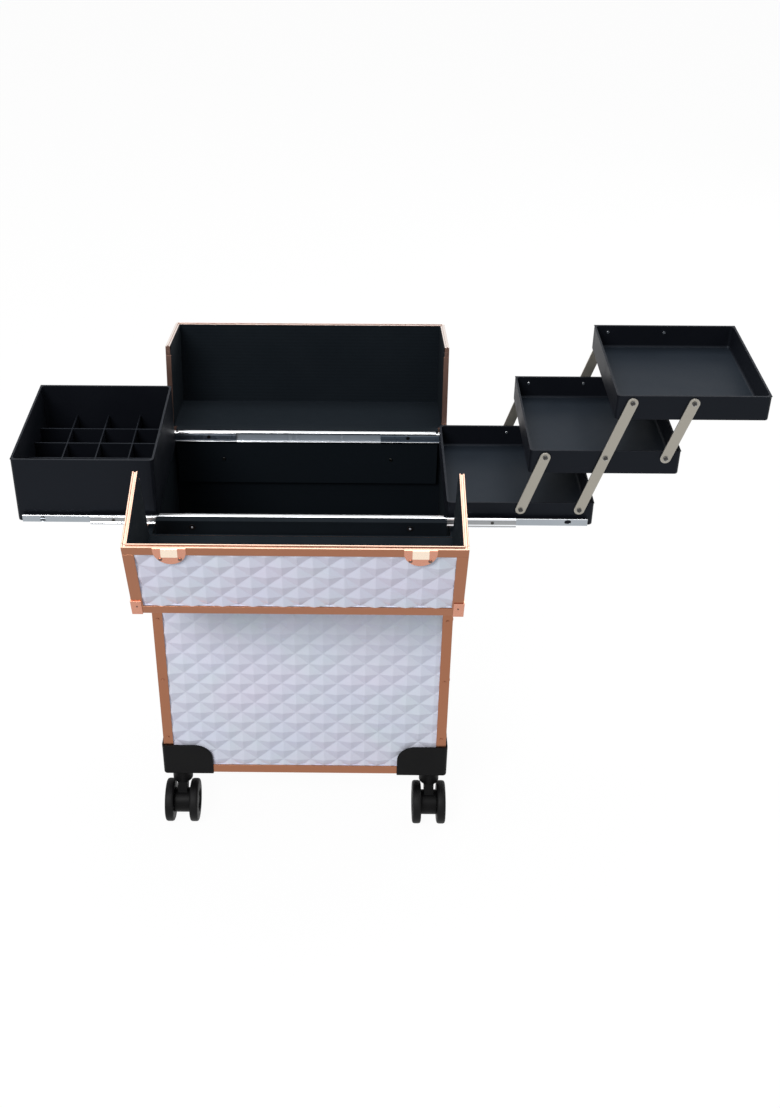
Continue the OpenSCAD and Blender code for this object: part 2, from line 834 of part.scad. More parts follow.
// Small caps over the two corners where top, face and sides of a lid meet
module lid_corners() {
    color(rose_gold) for (s = [-1, 1]) mirror([s > 0 ? 1 : 0, 0, 0]) translate([-half_w, lid_u0, lid_v1])
        difference() {
            block([-cap_t, -cap_t, -cap_w], [cap_w, cap_l, cap_t]);
            block([0, 0, -cap_w - cut], [cap_w + cut, cap_l + cut, 0]);
        }
}

// A hinge leaf with three or two of the five knuckles, upwards or downwards from the hinge line
module leaf_pair(up, knuckles) {
    pitch = hinge_len / knuckle_count;
    z0 = up > 0 ? hinge_gap / 2 : -leaf_h - hinge_gap / 2;
    color(rose_gold) for (side = [-1, 1]) translate([side * hinge_x - hinge_len / 2, 0, 0]) difference() {
        union() {
            translate([0, hinge_off - leaf_t, z0]) cube([hinge_len, leaf_t, leaf_h]);
            for (k = knuckles) bar_x(k * pitch, (k + 1) * pitch, 0, 0, knuckle_r);
        }
        bar_x(-cut, hinge_len + cut, 0, 0, hinge_pin_r + run_gap);
        for (k = [0 : knuckle_count - 1]) if (len(search(k, knuckles)) == 0)
            bar_x(k * pitch - hinge_gap / 2, (k + 1) * pitch + hinge_gap / 2, 0, 0, knuckle_r + hinge_gap);
    }
}

module body_hinge_leaves() {
    translate([0, -hinge_y, hinge_z]) leaf_pair(-1, [0, 2, 4]);
    translate([0, hinge_y, hinge_z]) rotate([0, 0, 180]) leaf_pair(-1, [0, 2, 4]);
}

module hinge_pins() {
    color(rose_gold) for (s = [-1, 1], side = [-1, 1]) {
        x = side * hinge_x;
        bar_x(x - hinge_len / 2, x + hinge_len / 2, s * hinge_y, hinge_z, hinge_pin_r);
    }
}

// Outline of a latch plate: square at the rim, half an oval towards the middle of the lid
module latch_outline(l) {
    polygon(concat(
        [[keeper_w / 2, l], [-keeper_w / 2, l]],
        [for (a = [180 : arc_step : 360]) [keeper_w / 2 * cos(a), (l - latch_side) * (1 + sin(a))]]
    ));
}

// A keeper plate with its sloping lip and two rivets
module keeper() {
    translate([0, lid_u1 - keeper_l, lid_v1]) {
        linear_extrude(latch_t) latch_outline(keeper_l);
        translate([-lip_w / 2, keeper_l, 0]) rotate([90, 0, 90]) linear_extrude(lip_w)
            polygon([[-lip_l, 0], [0, 0], [0, latch_t + lip_low], [-lip_l, latch_t + lip_h]]);
        for (s = [-1, 1]) translate([s * (keeper_w / 2 - keeper_rivet_x), keeper_rivet_y, 0])
            cylinder(r = frame_rivet_r, h = latch_t + frame_rivet_h);
    }
}

// A latch base with two ears and the pin that carries the hasp
module latch_base() {
    ear_x = hasp_w / 2 + joint_gap;
    translate([0, lid_u1 - keeper_l, lid_v1]) linear_extrude(latch_t) latch_outline(keeper_l);
    for (s = [-1, 1]) {
        x0 = min(s * ear_x, s * (ear_x + ear_w));
        bar_x(x0, x0 + ear_w, pin_u, pin_v, hasp_r);
        block([x0, pin_u - hasp_r, lid_v1 + latch_t], [x0 + ear_w, pin_u + hasp_r, pin_v]);
    }
    bar_x(-ear_x - ear_w, ear_x + ear_w, pin_u, pin_v, hasp_pin_r);
}

// A hasp in the back lid's frame, hanging from its pin
module hasp(side) {
    color(rose_gold) translate([side * latch_x, pin_u, pin_v]) rotate([hasp_hang, 0, 0]) difference() {
        union() {
            bar_x(-hasp_w / 2, hasp_w / 2, 0, 0, hasp_r);
            block([-hasp_w / 2, 0, hasp_r - latch_t], [hasp_w / 2, hasp_l, hasp_r]);
            block([-hasp_w / 2, hasp_l - latch_t, hasp_r - latch_t - hook_l], [hasp_w / 2, hasp_l, hasp_r]);
        }
        bar_x(-hasp_w, hasp_w, 0, 0, hasp_pin_r + run_gap);
    }
}

module front_lid_panels() {
    at_front_lid() lid_panels();
}

module front_lid_lining() {
    at_front_lid() lid_lining();
}

module front_lid_frame() {
    at_front_lid() lid_frame();
}

module front_lid_rim() {
    color(rose_gold) at_front_lid() difference() {
        rim_bars();
        rim_run(groove_w, lid_u1 - groove_depth, lid_u1 + cut);
    }
}

module front_lid_corners() {
    at_front_lid() lid_corners();
}

module front_lid_leaves() {
    at_front_lid() leaf_pair(1, [1, 3]);
}

module latch_keepers() {
    color(rose_gold) at_front_lid() for (s = [-1, 1]) translate([s * latch_x, 0, 0]) keeper();
}

module back_lid_panels() {
    at_back_lid() lid_panels();
}

module back_lid_lining() {
    at_back_lid() lid_lining();
}

module back_lid_frame() {
    at_back_lid() lid_frame();
}

module back_lid_rim() {
    color(rose_gold) at_back_lid() {
        rim_bars();
        rim_tongue();
    }
}

module back_lid_corners() {
    at_back_lid() lid_corners();
}

module back_lid_leaves() {
    at_back_lid() leaf_pair(1, [1, 3]);
}

module latch_bases() {
    color(rose_gold) at_back_lid() for (s = [-1, 1]) translate([s * latch_x, 0, 0]) latch_base();
}

// The back lid's frame is turned round, so its right side is the case's left
module left_hasp() {
    at_back_lid() hasp(1);
}

module right_hasp() {
    at_back_lid() hasp(-1);
}

// Fixed tubes of the pull handle on the back of the body
module handle_tubes() {
    color(plastic_black) for (s = [-1, 1]) translate([s * handle_x, tube_y, tube_z]) difference() {
        cylinder(r = tube_r, h = tube_l);
        translate([0, 0, -cut]) cylinder(r = tube_bore_r, h = tube_l + 2 * cut);
    }
}

// Brackets that hold each tube to the back panel at its two ends
module handle_brackets() {
    color(plastic_black) for (s = [-1, 1], z = [tube_z, tube_top - bracket_h]) difference() {
        block(
            [s * handle_x - bracket_w / 2, half_d - bar_t, z],
            [s * handle_x + bracket_w / 2, tube_y + tube_r + bracket_front, z + bracket_h]
        );
        translate([s * handle_x, tube_y, z - cut]) cylinder(r = tube_r, h = bracket_h + 2 * cut);
    }
}

module handle_rods() {
    color(zinc) for (s = [-1, 1]) translate([s * handle_x, tube_y, tube_z + bracket_h])
        cylinder(r = rod_r, h = grip_z - tube_z - bracket_h);
}

// Grip bar with a round socket on each rod and a slot for the release button
module handle_grip() {
    slot_l = button_l + 2 * button_gap;
    slot_w = button_w + 2 * button_gap;
    color(plastic_black) difference() {
        union() {
            bar_x(-handle_x, handle_x, tube_y, grip_z, grip_r);
            for (s = [-1, 1]) translate([s * handle_x, tube_y, 0]) {
                translate([0, 0, grip_z]) sphere(r = grip_r);
                translate([0, 0, tube_top + socket_gap]) cylinder(r = socket_r, h = grip_rise - socket_gap);
            }
        }
        for (s = [-1, 1]) translate([s * handle_x, tube_y, tube_top]) cylinder(r = rod_r, h = grip_rise);
        translate([-slot_l / 2, tube_y - slot_w / 2, grip_z]) cube([slot_l, slot_w, grip_r + cut]);
    }
}

module handle_button() {
    z = grip_z + grip_r + button_rise - button_h;
    color(zinc) translate([-button_l / 2, tube_y - button_w / 2, z]) cube([button_l, button_w, button_h]);
}

// A caster fork with its axle, its swivel axis on Z through the origin and the axle towards the front
module fork() {
    crown_z = 2 * wheel_r + crown_gap;
    half_axle = wheel_x + wheel_w - dish_depth;
    axle_end = half_axle + axle_head_h;
    color(plastic_black) {
        difference() {
            union() {
                translate([0, 0, crown_z]) cylinder(r = crown_r, h = fork_top - crown_z);
                translate([0, 0, fork_top - cut]) cylinder(r = stem_r, h = plate_t + cut);
                bar_x(-hub_w / 2, hub_w / 2, -trail, wheel_r, hub_r);
                translate([-fork_w / 2, 0, 0]) rotate([90, 0, 90]) linear_extrude(fork_w) polygon([
                    [-fork_reach, crown_z + cut],
                    [fork_reach, crown_z + cut],
                    [fork_waist, (crown_z + wheel_r) / 2],
                    [fork_low - trail, wheel_r],
                    [-fork_low - trail, wheel_r]
                ]);
            }
            bar_x(-hub_w, hub_w, -trail, wheel_r, axle_r + run_gap);
        }
        bar_x(-half_axle, half_axle, -trail, wheel_r, axle_r);
        for (s = [-1, 1])
            bar_x(min(s * half_axle, s * axle_end), max(s * half_axle, s * axle_end),
                -trail, wheel_r, axle_head_r);
    }
}

// Half section of a wheel: distance along the axle, then radius
function wheel_section() = concat(
    [[0, axle_r + run_gap], [wheel_w - dish_depth - wheel_gap, axle_r + run_gap]],
    [[wheel_w - dish_depth - wheel_gap, dish_r], [wheel_w, dish_r + dish_flare]],
    [for (a = [0 : arc_step : 90]) [wheel_w, wheel_r] - shoulder_r * [1 - cos(a), 1 - sin(a)]],
    [for (a = [90 : arc_step : 180]) [0, wheel_r] - shoulder_r * [-1 - cos(a), 1 - sin(a)]]
);

module wheel_pair() {
    color(plastic_black) for (s = [-1, 1]) mirror([s < 0 ? 1 : 0, 0, 0])
        translate([wheel_x, -trail, wheel_r]) rotate([0, 90, 0])
            rotate_extrude() polygon([for (p = wheel_section()) [p[1], p[0]]]);
}

// Puts a caster piece under the corner on sides sx and sy
module at_caster(sx, sy) {
    translate([sx * (half_w - caster_inset), sy * (half_d - caster_inset), 0]) children();
}

module front_left_fork() {
    at_caster(-1, -1) fork();
}

module front_left_wheels() {
    at_caster(-1, -1) wheel_pair();
}

module front_right_fork() {
    at_caster(1, -1) fork();
}

module front_right_wheels() {
    at_caster(1, -1) wheel_pair();
}

module back_left_fork() {
    at_caster(-1, 1) fork();
}

module back_left_wheels() {
    at_caster(-1, 1) wheel_pair();
}

module back_right_fork() {
    at_caster(1, 1) fork();
}

module back_right_wheels() {
    at_caster(1, 1) wheel_pair();
}

front_panel();
back_panel();
left_panel();
right_panel();
bottom_panel();
case_lining();
base_rails();
corner_posts();
top_rails();
frame_rivets();
corner_guards();
caster_plates();
slide_boards();
slide_channels();
slide_screws();
body_hinge_leaves();
hinge_pins();
handle_tubes();
handle_brackets();
handle_rods();
handle_grip();
handle_button();
front_lid_panels();
front_lid_lining();
front_lid_frame();
front_lid_rim();
front_lid_corners();
front_lid_leaves();
latch_keepers();
back_lid_panels();
back_lid_lining();
back_lid_frame();
back_lid_rim();
back_lid_corners();
back_lid_leaves();
latch_bases();
left_hasp();
right_hasp();
left_tray();
left_tray_dividers();
left_tray_slides();
left_slide_middles();
bottom_tray();
bottom_tray_slides();
right_slide_middles();
long_arms();
lower_arms();
upper_arms();
middle_tray();
top_tray();
front_left_fork();
front_left_wheels();
front_right_fork();
front_right_wheels();
back_left_fork();
back_left_wheels();
back_right_fork();
back_right_wheels();
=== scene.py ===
"""Looks of the rolling makeup case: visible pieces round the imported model, and a plain studio."""

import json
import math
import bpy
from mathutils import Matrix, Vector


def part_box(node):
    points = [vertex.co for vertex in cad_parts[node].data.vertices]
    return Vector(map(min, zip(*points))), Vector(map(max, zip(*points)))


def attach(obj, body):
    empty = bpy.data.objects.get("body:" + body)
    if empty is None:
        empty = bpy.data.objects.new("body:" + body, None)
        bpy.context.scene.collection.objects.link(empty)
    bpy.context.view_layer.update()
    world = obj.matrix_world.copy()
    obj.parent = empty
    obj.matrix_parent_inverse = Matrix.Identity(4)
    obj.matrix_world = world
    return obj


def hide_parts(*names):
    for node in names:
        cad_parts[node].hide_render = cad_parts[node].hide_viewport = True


bl_info = {
    "name": "Rolling makeup case",
    "version": (1, 0, 0),
    "blender": (4, 5, 0),
    "location": "3D View > Sidebar > Makeup Case",
    "description": "Builds the visible pieces of a rolling makeup case and a plain studio",
    "category": "Object",
}

import bmesh
import bpy
import numpy as np
from bmesh.types import BMEdge, BMFace, BMVert
from bpy.props import FloatProperty, FloatVectorProperty, IntProperty, PointerProperty
from mathutils import Matrix, Vector

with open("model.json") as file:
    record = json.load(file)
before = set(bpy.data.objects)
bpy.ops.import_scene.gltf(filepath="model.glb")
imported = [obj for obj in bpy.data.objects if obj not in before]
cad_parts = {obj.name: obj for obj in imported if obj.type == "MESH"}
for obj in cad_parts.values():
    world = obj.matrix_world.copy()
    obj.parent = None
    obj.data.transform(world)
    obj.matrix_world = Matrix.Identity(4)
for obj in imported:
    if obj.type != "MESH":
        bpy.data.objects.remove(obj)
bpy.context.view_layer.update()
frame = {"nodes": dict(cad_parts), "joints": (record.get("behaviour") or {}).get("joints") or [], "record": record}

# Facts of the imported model
BODY_OF = {n: body for body, nodes in frame["record"]["behaviour"]["bodies"].items() for n in nodes}
JOINT = {joint["name"]: joint for joint in frame["joints"]}
FRONT_OPEN = math.radians(106)
BACK_OPEN = math.radians(100)
LID_SHEET = 0.004
BAR_SHEET = 0.0015
JOINT_GAP = 0.0002
TRAY_WALL = 0.0022
TRAY_FLOOR = 0.002
SLIDE_SHEET = 0.0012
LATCH_SHEET = 0.0012
LINING_SHEET = 0.001
ARM_WIDTH = 0.0116

# Places of a lid: on its hinge, with Y inwards and Z up when the lid is shut
LIDS = {
    "front_lid": Matrix.Translation(JOINT["front_lid_hinge"]["pos_m"])
    @ Matrix.Rotation(FRONT_OPEN, 4, "X"),
    "back_lid": Matrix.Translation(JOINT["back_lid_hinge"]["pos_m"])
    @ Matrix.Rotation(math.pi, 4, "Z")
    @ Matrix.Rotation(BACK_OPEN, 4, "X"),
}

# Place of one diamond's tip on the body and on a lid, and its drop below the edge of a lid's top
BODY_TIP = (-0.0097, 0.2563)
LID_TIP = (-0.0147, 0.0521)
LID_TIP_DROP = 0.0015

# Rows of diamonds beyond a panel's opening, before it is cut
SPARE_ROWS = 3

# Heads of rivets and screws: radius, height, and depth of a dimple
CAP_RIVET = (0.0011, 0.0005)
STOP_RIVET = (0.0019, 0.0007, 0.0005)
INNER_RIVET = (0.0024, 0.0002)
CHANNEL_SCREW = (0.0036, 0.00045, 0.0002)
BOARD_SCREW = (0.0022, 0.0012, 0.0006)
SCREW_TIP = (0.0013, 0.0004)
HEAD_SIDES = 24

# Shares of a head: edge and floor of its dimple, start of its rim, rounding by height and radius
DIMPLE_EDGE, DIMPLE_FLOOR = 0.45, 0.7
HEAD_RIM, DOME_HEIGHT, DOME_WIDTH = 0.9, 0.8, 0.4

# Places of the cap rivets, from a lid's corner, and of the boards' screws, beside the middle
CAP_INSET, CAP_RISE = 0.0065, 0.0137
BOARD_SCREW_X, BOARD_SCREW_Z = 0.105, 0.416

# Slots of the trays' slide members: share of the length, then drop, width and height of each
SLOTS = {
    "left_tray_slides": (0.155, ((0.0020, 0.0064, 0.0026), (-0.0020, 0.0064, 0.0026))),
    "bottom_tray_slides": (0.85, ((-0.0008, 0.0078, 0.0056),)),
}

# Rivets of the middle slide members: share of the length, and on which side the inner end is
STOPS = {"left_slide_middles": (0.173, 1), "right_slide_middles": (0.823, -1)}

# Rivets of the arms: share of a head that shows inside, and fewest sides of a round end
RIVET_INSIDE = 0.6
ROUND_SIDES = 12

# A wheel's half section: its face, from the outer side and the axle, its tread, from the outer side
# and the rim, and its back, from the inner side and the rim. The hub has a finish of its own
WHEEL_FACE = (
    (0.0035, 0.0130), (0.0012, 0.0148), (0.0, 0.0154), (0.0, 0.0176), (0.0006, 0.0180),
    (0.0006, 0.0185), (0.0, 0.0189),
)
WHEEL_TREAD = ((0.0003, 0.0022), (0.0011, 0.0007), (0.0030, 0.0))
WHEEL_BACK = ((0.0028, 0.0), (0.0008, 0.0008), (0.0, 0.0028))
WHEEL_HUB = 0.0175

# Lamps: place, target and size
LAMPS = {
    "top": ((0.0, 0.45, 2.3), (0.0, 0.0, 0.3), (1.7, 1.4)),
    "front": ((-0.9, -1.9, 2.2), (0.0, 0.0, 0.35), (1.2, 0.9)),
    "back": ((1.9, 1.5, 0.7), (0.0, 0.0, 0.3), (1.0, 0.7)),
}
WHITE = (1.0, 1.0, 1.0, 1.0)

X, Y, Z = (Vector(axis) for axis in Matrix.Identity(3))

# Angles above which an edge is softened or shaded sharp, and below which faces count as one
SOFT_ANGLE = math.radians(30)
SHARP_ANGLE = math.radians(50)
FLAT_ANGLE = math.radians(1)
WELD = 1e-6

# Least cosines of a face that lies square to a way, faces it, belongs to a web or leans to it
SQUARE, FACING, WEB_FACING, LEANING = 0.99, 0.9, 0.8, 0.5

# Outer finishes of a sheet; any further ones are for its inside
SHEET_FINISHES = 2

# Shares of the base colour in the hollows of the weave and in dull patches of zinc
WEAVE_SHADE, ZINC_SHADE = 0.6, 0.93

# Sockets of a colour Mix node
MIX_FACTOR, MIX_A, MIX_B, MIX_RESULT = 0, 6, 7, 2


# Properties

def length(name, description, default):
    return FloatProperty(
        name=name, description=description, default=default, min=0.0, precision=5, unit="LENGTH"
    )


def colour(name, description, default):
    return FloatVectorProperty(
        name=name, description=description, default=(*default, 1.0), size=4, min=0.0, max=1.0,
        subtype="COLOR",
    )


def fraction(name, description, default, low=0.0):
    return FloatProperty(
        name=name, description=description, default=default, min=low, max=1.0, subtype="FACTOR"
    )


def tilt(name, description, degrees):
    return FloatProperty(
        name=name, description=description, default=math.radians(degrees), subtype="ANGLE"
    )


def power(name, description, default):
    return FloatProperty(name=name, description=description, default=default, unit="POWER")


class CaseSizes(bpy.types.PropertyGroup):
    """Sizes of the modelled detail."""

    diamond_w: length("Diamond width", "Width of one embossed diamond", 0.0334)
    diamond_h: length("Diamond height", "Height of one embossed diamond", 0.031)
    lid_diamond_w: length("Lid diamond width", "Width of a diamond on the lids", 0.0322)
    lid_diamond_h: length("Lid diamond height", "Height of a diamond on the lids", 0.0345)
    diamond_rise: length("Diamond rise", "Height of a diamond's tip above the panel", 0.0013)
    diamond_sink: length("Diamond sink", "Depth of the valleys between the diamonds", 0.0015)
    ridge_round: length("Ridge rounding", "Rounding of the diamonds' ridges", 0.0005)
    cap_trim: length("Cap trim", "How much the lids' corner caps are narrowed", 0.0025)
    bar_edge: length("Bar edges", "Rounding of the aluminium bars' edges", 0.0003)
    fitting_edge: length("Fitting edges", "Rounding of hinges and latches", 0.00018)
    lining_edge: length("Lining edges", "Rounding of the lined edges", 0.0004)
    guard_corner: length("Guard corners", "Rounding of a corner guard's outer corner", 0.004)
    guard_edge: length("Guard edges", "Rounding of a corner guard's other edges", 0.0007)
    tray_corner: length("Tray corners", "Radius of a tray's upright corners outside", 0.004)
    tray_inner: length("Tray inner corners", "Radius of a tray's upright corners inside", 0.0045)
    tray_fillet: length("Tray fillet", "Radius between a tray's floor and its walls", 0.003)
    tray_rim: length("Tray rim", "Rounding of a tray's rim", 0.0006)
    tray_foot: length("Tray foot", "Rounding of a tray's lower edge", 0.0014)
    slide_roll: length("Slide corners", "Radius of the rolled corners of the slides", 0.0022)
    track_roll: length("Track bends", "Radius of the bends beside the ball tracks", 0.0004)
    track_sink: length("Track sink", "Depth of the web between the ball tracks", 0.0013)
    track_gap: length("Track gap", "Half the height of the web between the ball tracks", 0.0021)
    track_slope: length("Track slope", "Height of the slopes beside the ball tracks", 0.001)
    upper_lip: length("Upper lip", "Depth of a channel's upper lip", 0.006)
    lower_lip: length("Lower lip", "Depth of a channel's lower lip", 0.0032)
    middle_lip: length("Middle lip", "Depth of the lips of the middle members", 0.0036)
    stop_back: length("Stop setback", "Distance of the inner rivets from a middle's end", 0.034)
    runner_back: length("Runner setback", "Gap between a tray's member and the middle", 0.0015)
    runner_lip: length("Runner lip", "Depth of the lips of a tray's member", 0.0012)
    tape: length("Mouth tape", "Thickness of the black tape over the mouth's bars", 0.0003)
    tape_inset: length("Tape inset", "Part of the mouth's bars left bare outside", 0.0008)
    arm_edge: length("Arm edges", "Rounding of the folding arms", 0.0004)
    rivet_wall: length("Rivet wall", "Wall of the hollow rivets in the arms", 0.0009)
    rivet_dimple: length("Rivet dimple", "Depth of the hollow in the arms' rivets", 0.0008)
    rivet_share: fraction("Rivet size", "Visible share of the arms' rivet heads", 0.8, 0.6)
    fork_edge: length("Fork edges", "Rounding of the caster forks", 0.0009)
    handle_edge: length("Handle edges", "Rounding of the pull handle's parts", 0.0007)
    wheel_steps: IntProperty(
        name="Wheel steps", description="Faces round a wheel", default=72, min=24, max=144
    )


class CaseColours(bpy.types.PropertyGroup):
    """Base colours of the finishes."""

    pearl: colour("Pearl panel", "Embossed panels", (0.70, 0.725, 0.86))
    pearl_cool: colour("Pearl sheen", "Faint green in the panels", (0.68, 0.76, 0.82))
    pearl_warm: colour("Pearl blush", "Faint pink in the panels", (0.745, 0.715, 0.85))
    rose_gold: colour("Rose gold", "Anodised frame", (0.36, 0.155, 0.088))
    rose_edge: colour("Rose gold edge", "Rubbed edges of the frame", (0.62, 0.34, 0.23))
    rose_cap: colour("Rose gold caps", "Lighter caps on the lids' corners", (0.62, 0.29, 0.20))
    # A paler copy of the gold that paints the highlight on the front lid's parting edge
    rose_rim: colour("Rose gold rims", "Painted highlight on the front lid's parting edge", (0.36, 0.235, 0.18))
    # A pale copy of the gold that paints the highlight on the back lid's parting edge
    rose_tongue: colour("Rose gold tongue", "Painted highlight on the back lid's parting edge", (0.82, 0.74, 0.69))
    # A darker copy of the gold that paints shade on the undersides of the lids' bars and rims, and on their end
    # plugs and small rivets
    rose_under: colour("Rose gold undersides", "Shaded legs of the bars", (0.17, 0.10, 0.08))
    # A near-white copy of the gold that paints the highlight on the keepers' lips
    rose_polish: colour("Polished gold", "Painted highlight on the keepers' lips", (0.95, 0.80, 0.65))
    lining: colour("Lining", "Black lining cloth", (0.0045, 0.0066, 0.0094))
    tray: colour("Tray", "Black tray plastic", (0.004, 0.0046, 0.0068))
    # A lighter, bluer copy of the tray plastic that paints the sheen on the trays' floors
    tray_floor: colour("Tray floor", "Painted sheen on the trays' floors", (0.0085, 0.0115, 0.016))
    # Lighter rims of the trays and other black parts: rubbing, partly a painted highlight
    tray_edge: colour("Tray edge", "Rubbed rims of the trays", (0.03, 0.033, 0.04))
    zinc: colour("Zinc", "Bright lips of the slides", (0.90, 0.92, 0.95))
    # A darker copy of the zinc that paints the shade on the webs of the trays' members
    zinc_web: colour("Zinc web", "Painted shade on the webs of the trays' members", (0.38, 0.415, 0.45))
    # A darker copy of the zinc that paints the shade on the webs of the middle members
    zinc_track: colour("Zinc track", "Painted shade on the webs between the ball tracks", (0.34, 0.35, 0.36))
    # A darker copy of the zinc that paints the shade on the webs of the fixed channels, also used for the screw
    # tips
    zinc_shade: colour("Zinc shade", "Painted shade on the webs of the fixed channels", (0.36, 0.41, 0.47))
    # A darker zinc for the insides of the middle members
    zinc_grease: colour("Zinc grease", "Darker insides of the middle members", (0.08, 0.105, 0.14))
    nickel: colour("Nickel", "Folding arms", (0.36, 0.34, 0.295))
    steel: colour("Steel", "Rivets and screws", (0.06, 0.058, 0.055))
    moulded: colour("Moulded black", "Guards, forks and brackets", (0.003, 0.003, 0.0033))
    tyre: colour("Tyre", "Wheels", (0.003, 0.003, 0.0033))
    lacquer: colour("Lacquer", "Pull handle", (0.010, 0.010, 0.011))


class CaseStage(bpy.types.PropertyGroup):
    """Camera, lamps and floor."""

    camera_place: FloatVectorProperty(
        name="Camera", description="Place of the camera", subtype="TRANSLATION",
        default=(0.058736, -1.337237, 1.309611), precision=6,
    )
    camera_pitch: tilt("Pitch", "How far the camera looks down", 31.548)
    camera_yaw: tilt("Yaw", "How far the camera looks to the left", 0.612)
    camera_roll: tilt("Roll", "Roll of the camera", 0.098)
    camera_lens: FloatProperty(
        name="Lens", description="Focal length in millimetres", default=43.551,
        subtype="DISTANCE_CAMERA",
    )
    camera_shift: FloatVectorProperty(
        name="Shift", description="Shift of the lens", size=2, default=(0.04338, -0.09365),
        precision=5,
    )
    floor_size: length("Floor size", "Half the side of the floor", 8.0)
    floor: colour("Floor", "Pale floor", (0.32, 0.32, 0.33))
    floor_white: fraction("Floor white", "Share of plain white in the floor", 0.96)
    sky: FloatProperty(
        name="Room light", description="Strength of the even room light", default=0.34, min=0.0
    )
    top_watts: power("Top lamp", "Power of the soft lamp overhead", 38.0)
    front_watts: power("Front lamp", "Power of the soft lamp in front", 55.0)
    back_watts: power("Back lamp", "Power of the soft lamp behind", 20.0)


# Modelling helpers

def node_points(node, place=None, side=0):
    """A CAD node's vertices, in the frame of a place, on both sides of the middle or on one."""
    points = [v.co.copy() for v in frame["nodes"][node].data.vertices]
    if side:
        points = [p for p in points if p.y * side > 0]
    return points if place is None else [place.inverted() @ p for p in points]


def span(points):
    """Lowest and highest corner of some points."""
    return (
        Vector(min(p[i] for p in points) for i in range(3)),
        Vector(max(p[i] for p in points) for i in range(3)),
    )


def seen_from(place, face):
    """A face's middle and normal in the frame of a place."""
    local = place.inverted()
    return local @ face.calc_center_median(), local.to_3x3() @ face.normal


def middle_of(edge):
    return (edge.verts[0].co + edge.verts[1].co) / 2


def of_kind(geom, kind):
    """The vertices, edges or faces among what an operator has made."""
    return [g for g in geom if isinstance(g, kind)]


def move(bm, place):
    bmesh.ops.transform(bm, matrix=place, verts=bm.verts)


def raised(bm, faces, height):
    """Extrudes flat faces upwards and gives back the first new one."""
    grown = bmesh.ops.extrude_face_region(bm, geom=faces)["geom"]
    bmesh.ops.translate(bm, verts=of_kind(grown, BMVert), vec=(0, 0, height))
    return of_kind(grown, BMFace)[0]


def cad_copy(node):
    """A merged copy of a CAD node, with its flat faces whole."""
    bm = bmesh.new()
    bm.from_mesh(frame["nodes"][node].data)
    bmesh.ops.remove_doubles(bm, verts=bm.verts, dist=WELD)
    bmesh.ops.dissolve_limit(bm, angle_limit=FLAT_ANGLE, verts=bm.verts, edges=bm.edges)
    return bm


def round_edges(bm, edges, width, segments=3):
    if edges:
        bmesh.ops.bevel(
            bm, geom=edges, offset=width, offset_type="OFFSET", affect="EDGES",
            segments=segments, profile=0.5, material=-1, clamp_overlap=True,
        )


def sharp_edges(bm):
    return [e for e in bm.edges if e.is_manifold and e.calc_face_angle() > SOFT_ANGLE]


def soften(bm, width, segments=2):
    round_edges(bm, sharp_edges(bm), width, segments)


def islands(bm):
    """Groups of vertices that hang together."""
    seen, found = set(), []
    for start in bm.verts:
        if start in seen:
            continue
        seen.add(start)
        group, todo = [start], [start]
        while todo:
            vert = todo.pop()
            for edge in vert.link_edges:
                other = edge.other_vert(vert)
                if other not in seen:
                    seen.add(other)
                    group.append(other)
                    todo.append(other)
        found.append(group)
    return found


def lay_grain(bm):
    """Stores each loose part's own coordinates, its length first, for drawn and brushed metal."""
    layer = bm.verts.layers.float_vector.new("grain")
    for group in islands(bm):
        points = np.array([v.co for v in group])
        centre = points.mean(0)
        axes = np.linalg.eigh(np.cov((points - centre).T))[1][:, ::-1].T
        axes *= np.sign(axes[range(3), np.abs(axes).argmax(1)])[:, None]
        for vert, local in zip(group, (points - centre) @ axes.T + centre):
            vert[layer] = local


def piece(bm, name, finishes, body, stands_for=(), sheet=0.0):
    """Makes a piece of a bmesh, or of a sheet with a thickness: shading, finishes and its body."""
    for face in bm.faces:
        face.smooth = True
    for edge in bm.edges:
        edge.smooth = not edge.is_manifold or edge.calc_face_angle() < SHARP_ANGLE
    mesh = bpy.data.meshes.new(name)
    bm.to_mesh(mesh)
    bm.free()
    for coat in finishes:
        mesh.materials.append(finish(coat))
    obj = bpy.data.objects.new(name, mesh)
    bpy.context.scene.collection.objects.link(obj)
    if sheet:
        solid = obj.modifiers.new("Sheet thickness", "SOLIDIFY")
        solid.thickness = sheet
        solid.material_offset = len(finishes) - SHEET_FINISHES
    normals = obj.modifiers.new("Flat faces stay flat", "WEIGHTED_NORMAL")
    normals.keep_sharp = True
    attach(obj, body)
    if stands_for:
        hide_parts(*stands_for)


def dress(node, finishes, edge, segments=2, shape=None):
    """Softens a copy of a CAD node, shapes it further if asked, and puts it in the node's place."""
    bm = cad_copy(node)
    if shape:
        shape(bm)
    soften(bm, edge, segments)
    lay_grain(bm)
    piece(bm, node + "_dressed", finishes, BODY_OF[node], [node])


def facing(origin, normal):
    """A place whose Z axis points along a normal."""
    return Matrix.Translation(origin) @ Vector(normal).to_track_quat("Z", "Y").to_matrix().to_4x4()


def join(bm, part, place=None):
    """Adds a part to a bmesh, at a place."""
    if place is not None:
        move(part, place)
    mesh = bpy.data.meshes.new("part")
    part.to_mesh(mesh)
    part.free()
    bm.from_mesh(mesh)
    bpy.data.meshes.remove(mesh)


def block(near, far):
    """A box between two corners."""
    bm = bmesh.new()
    bmesh.ops.create_cube(bm, size=1.0)
    size = (abs(c) for c in far - near)
    move(bm, Matrix.Translation((near + far) / 2) @ Matrix.Diagonal((*size, 1)))
    return bm


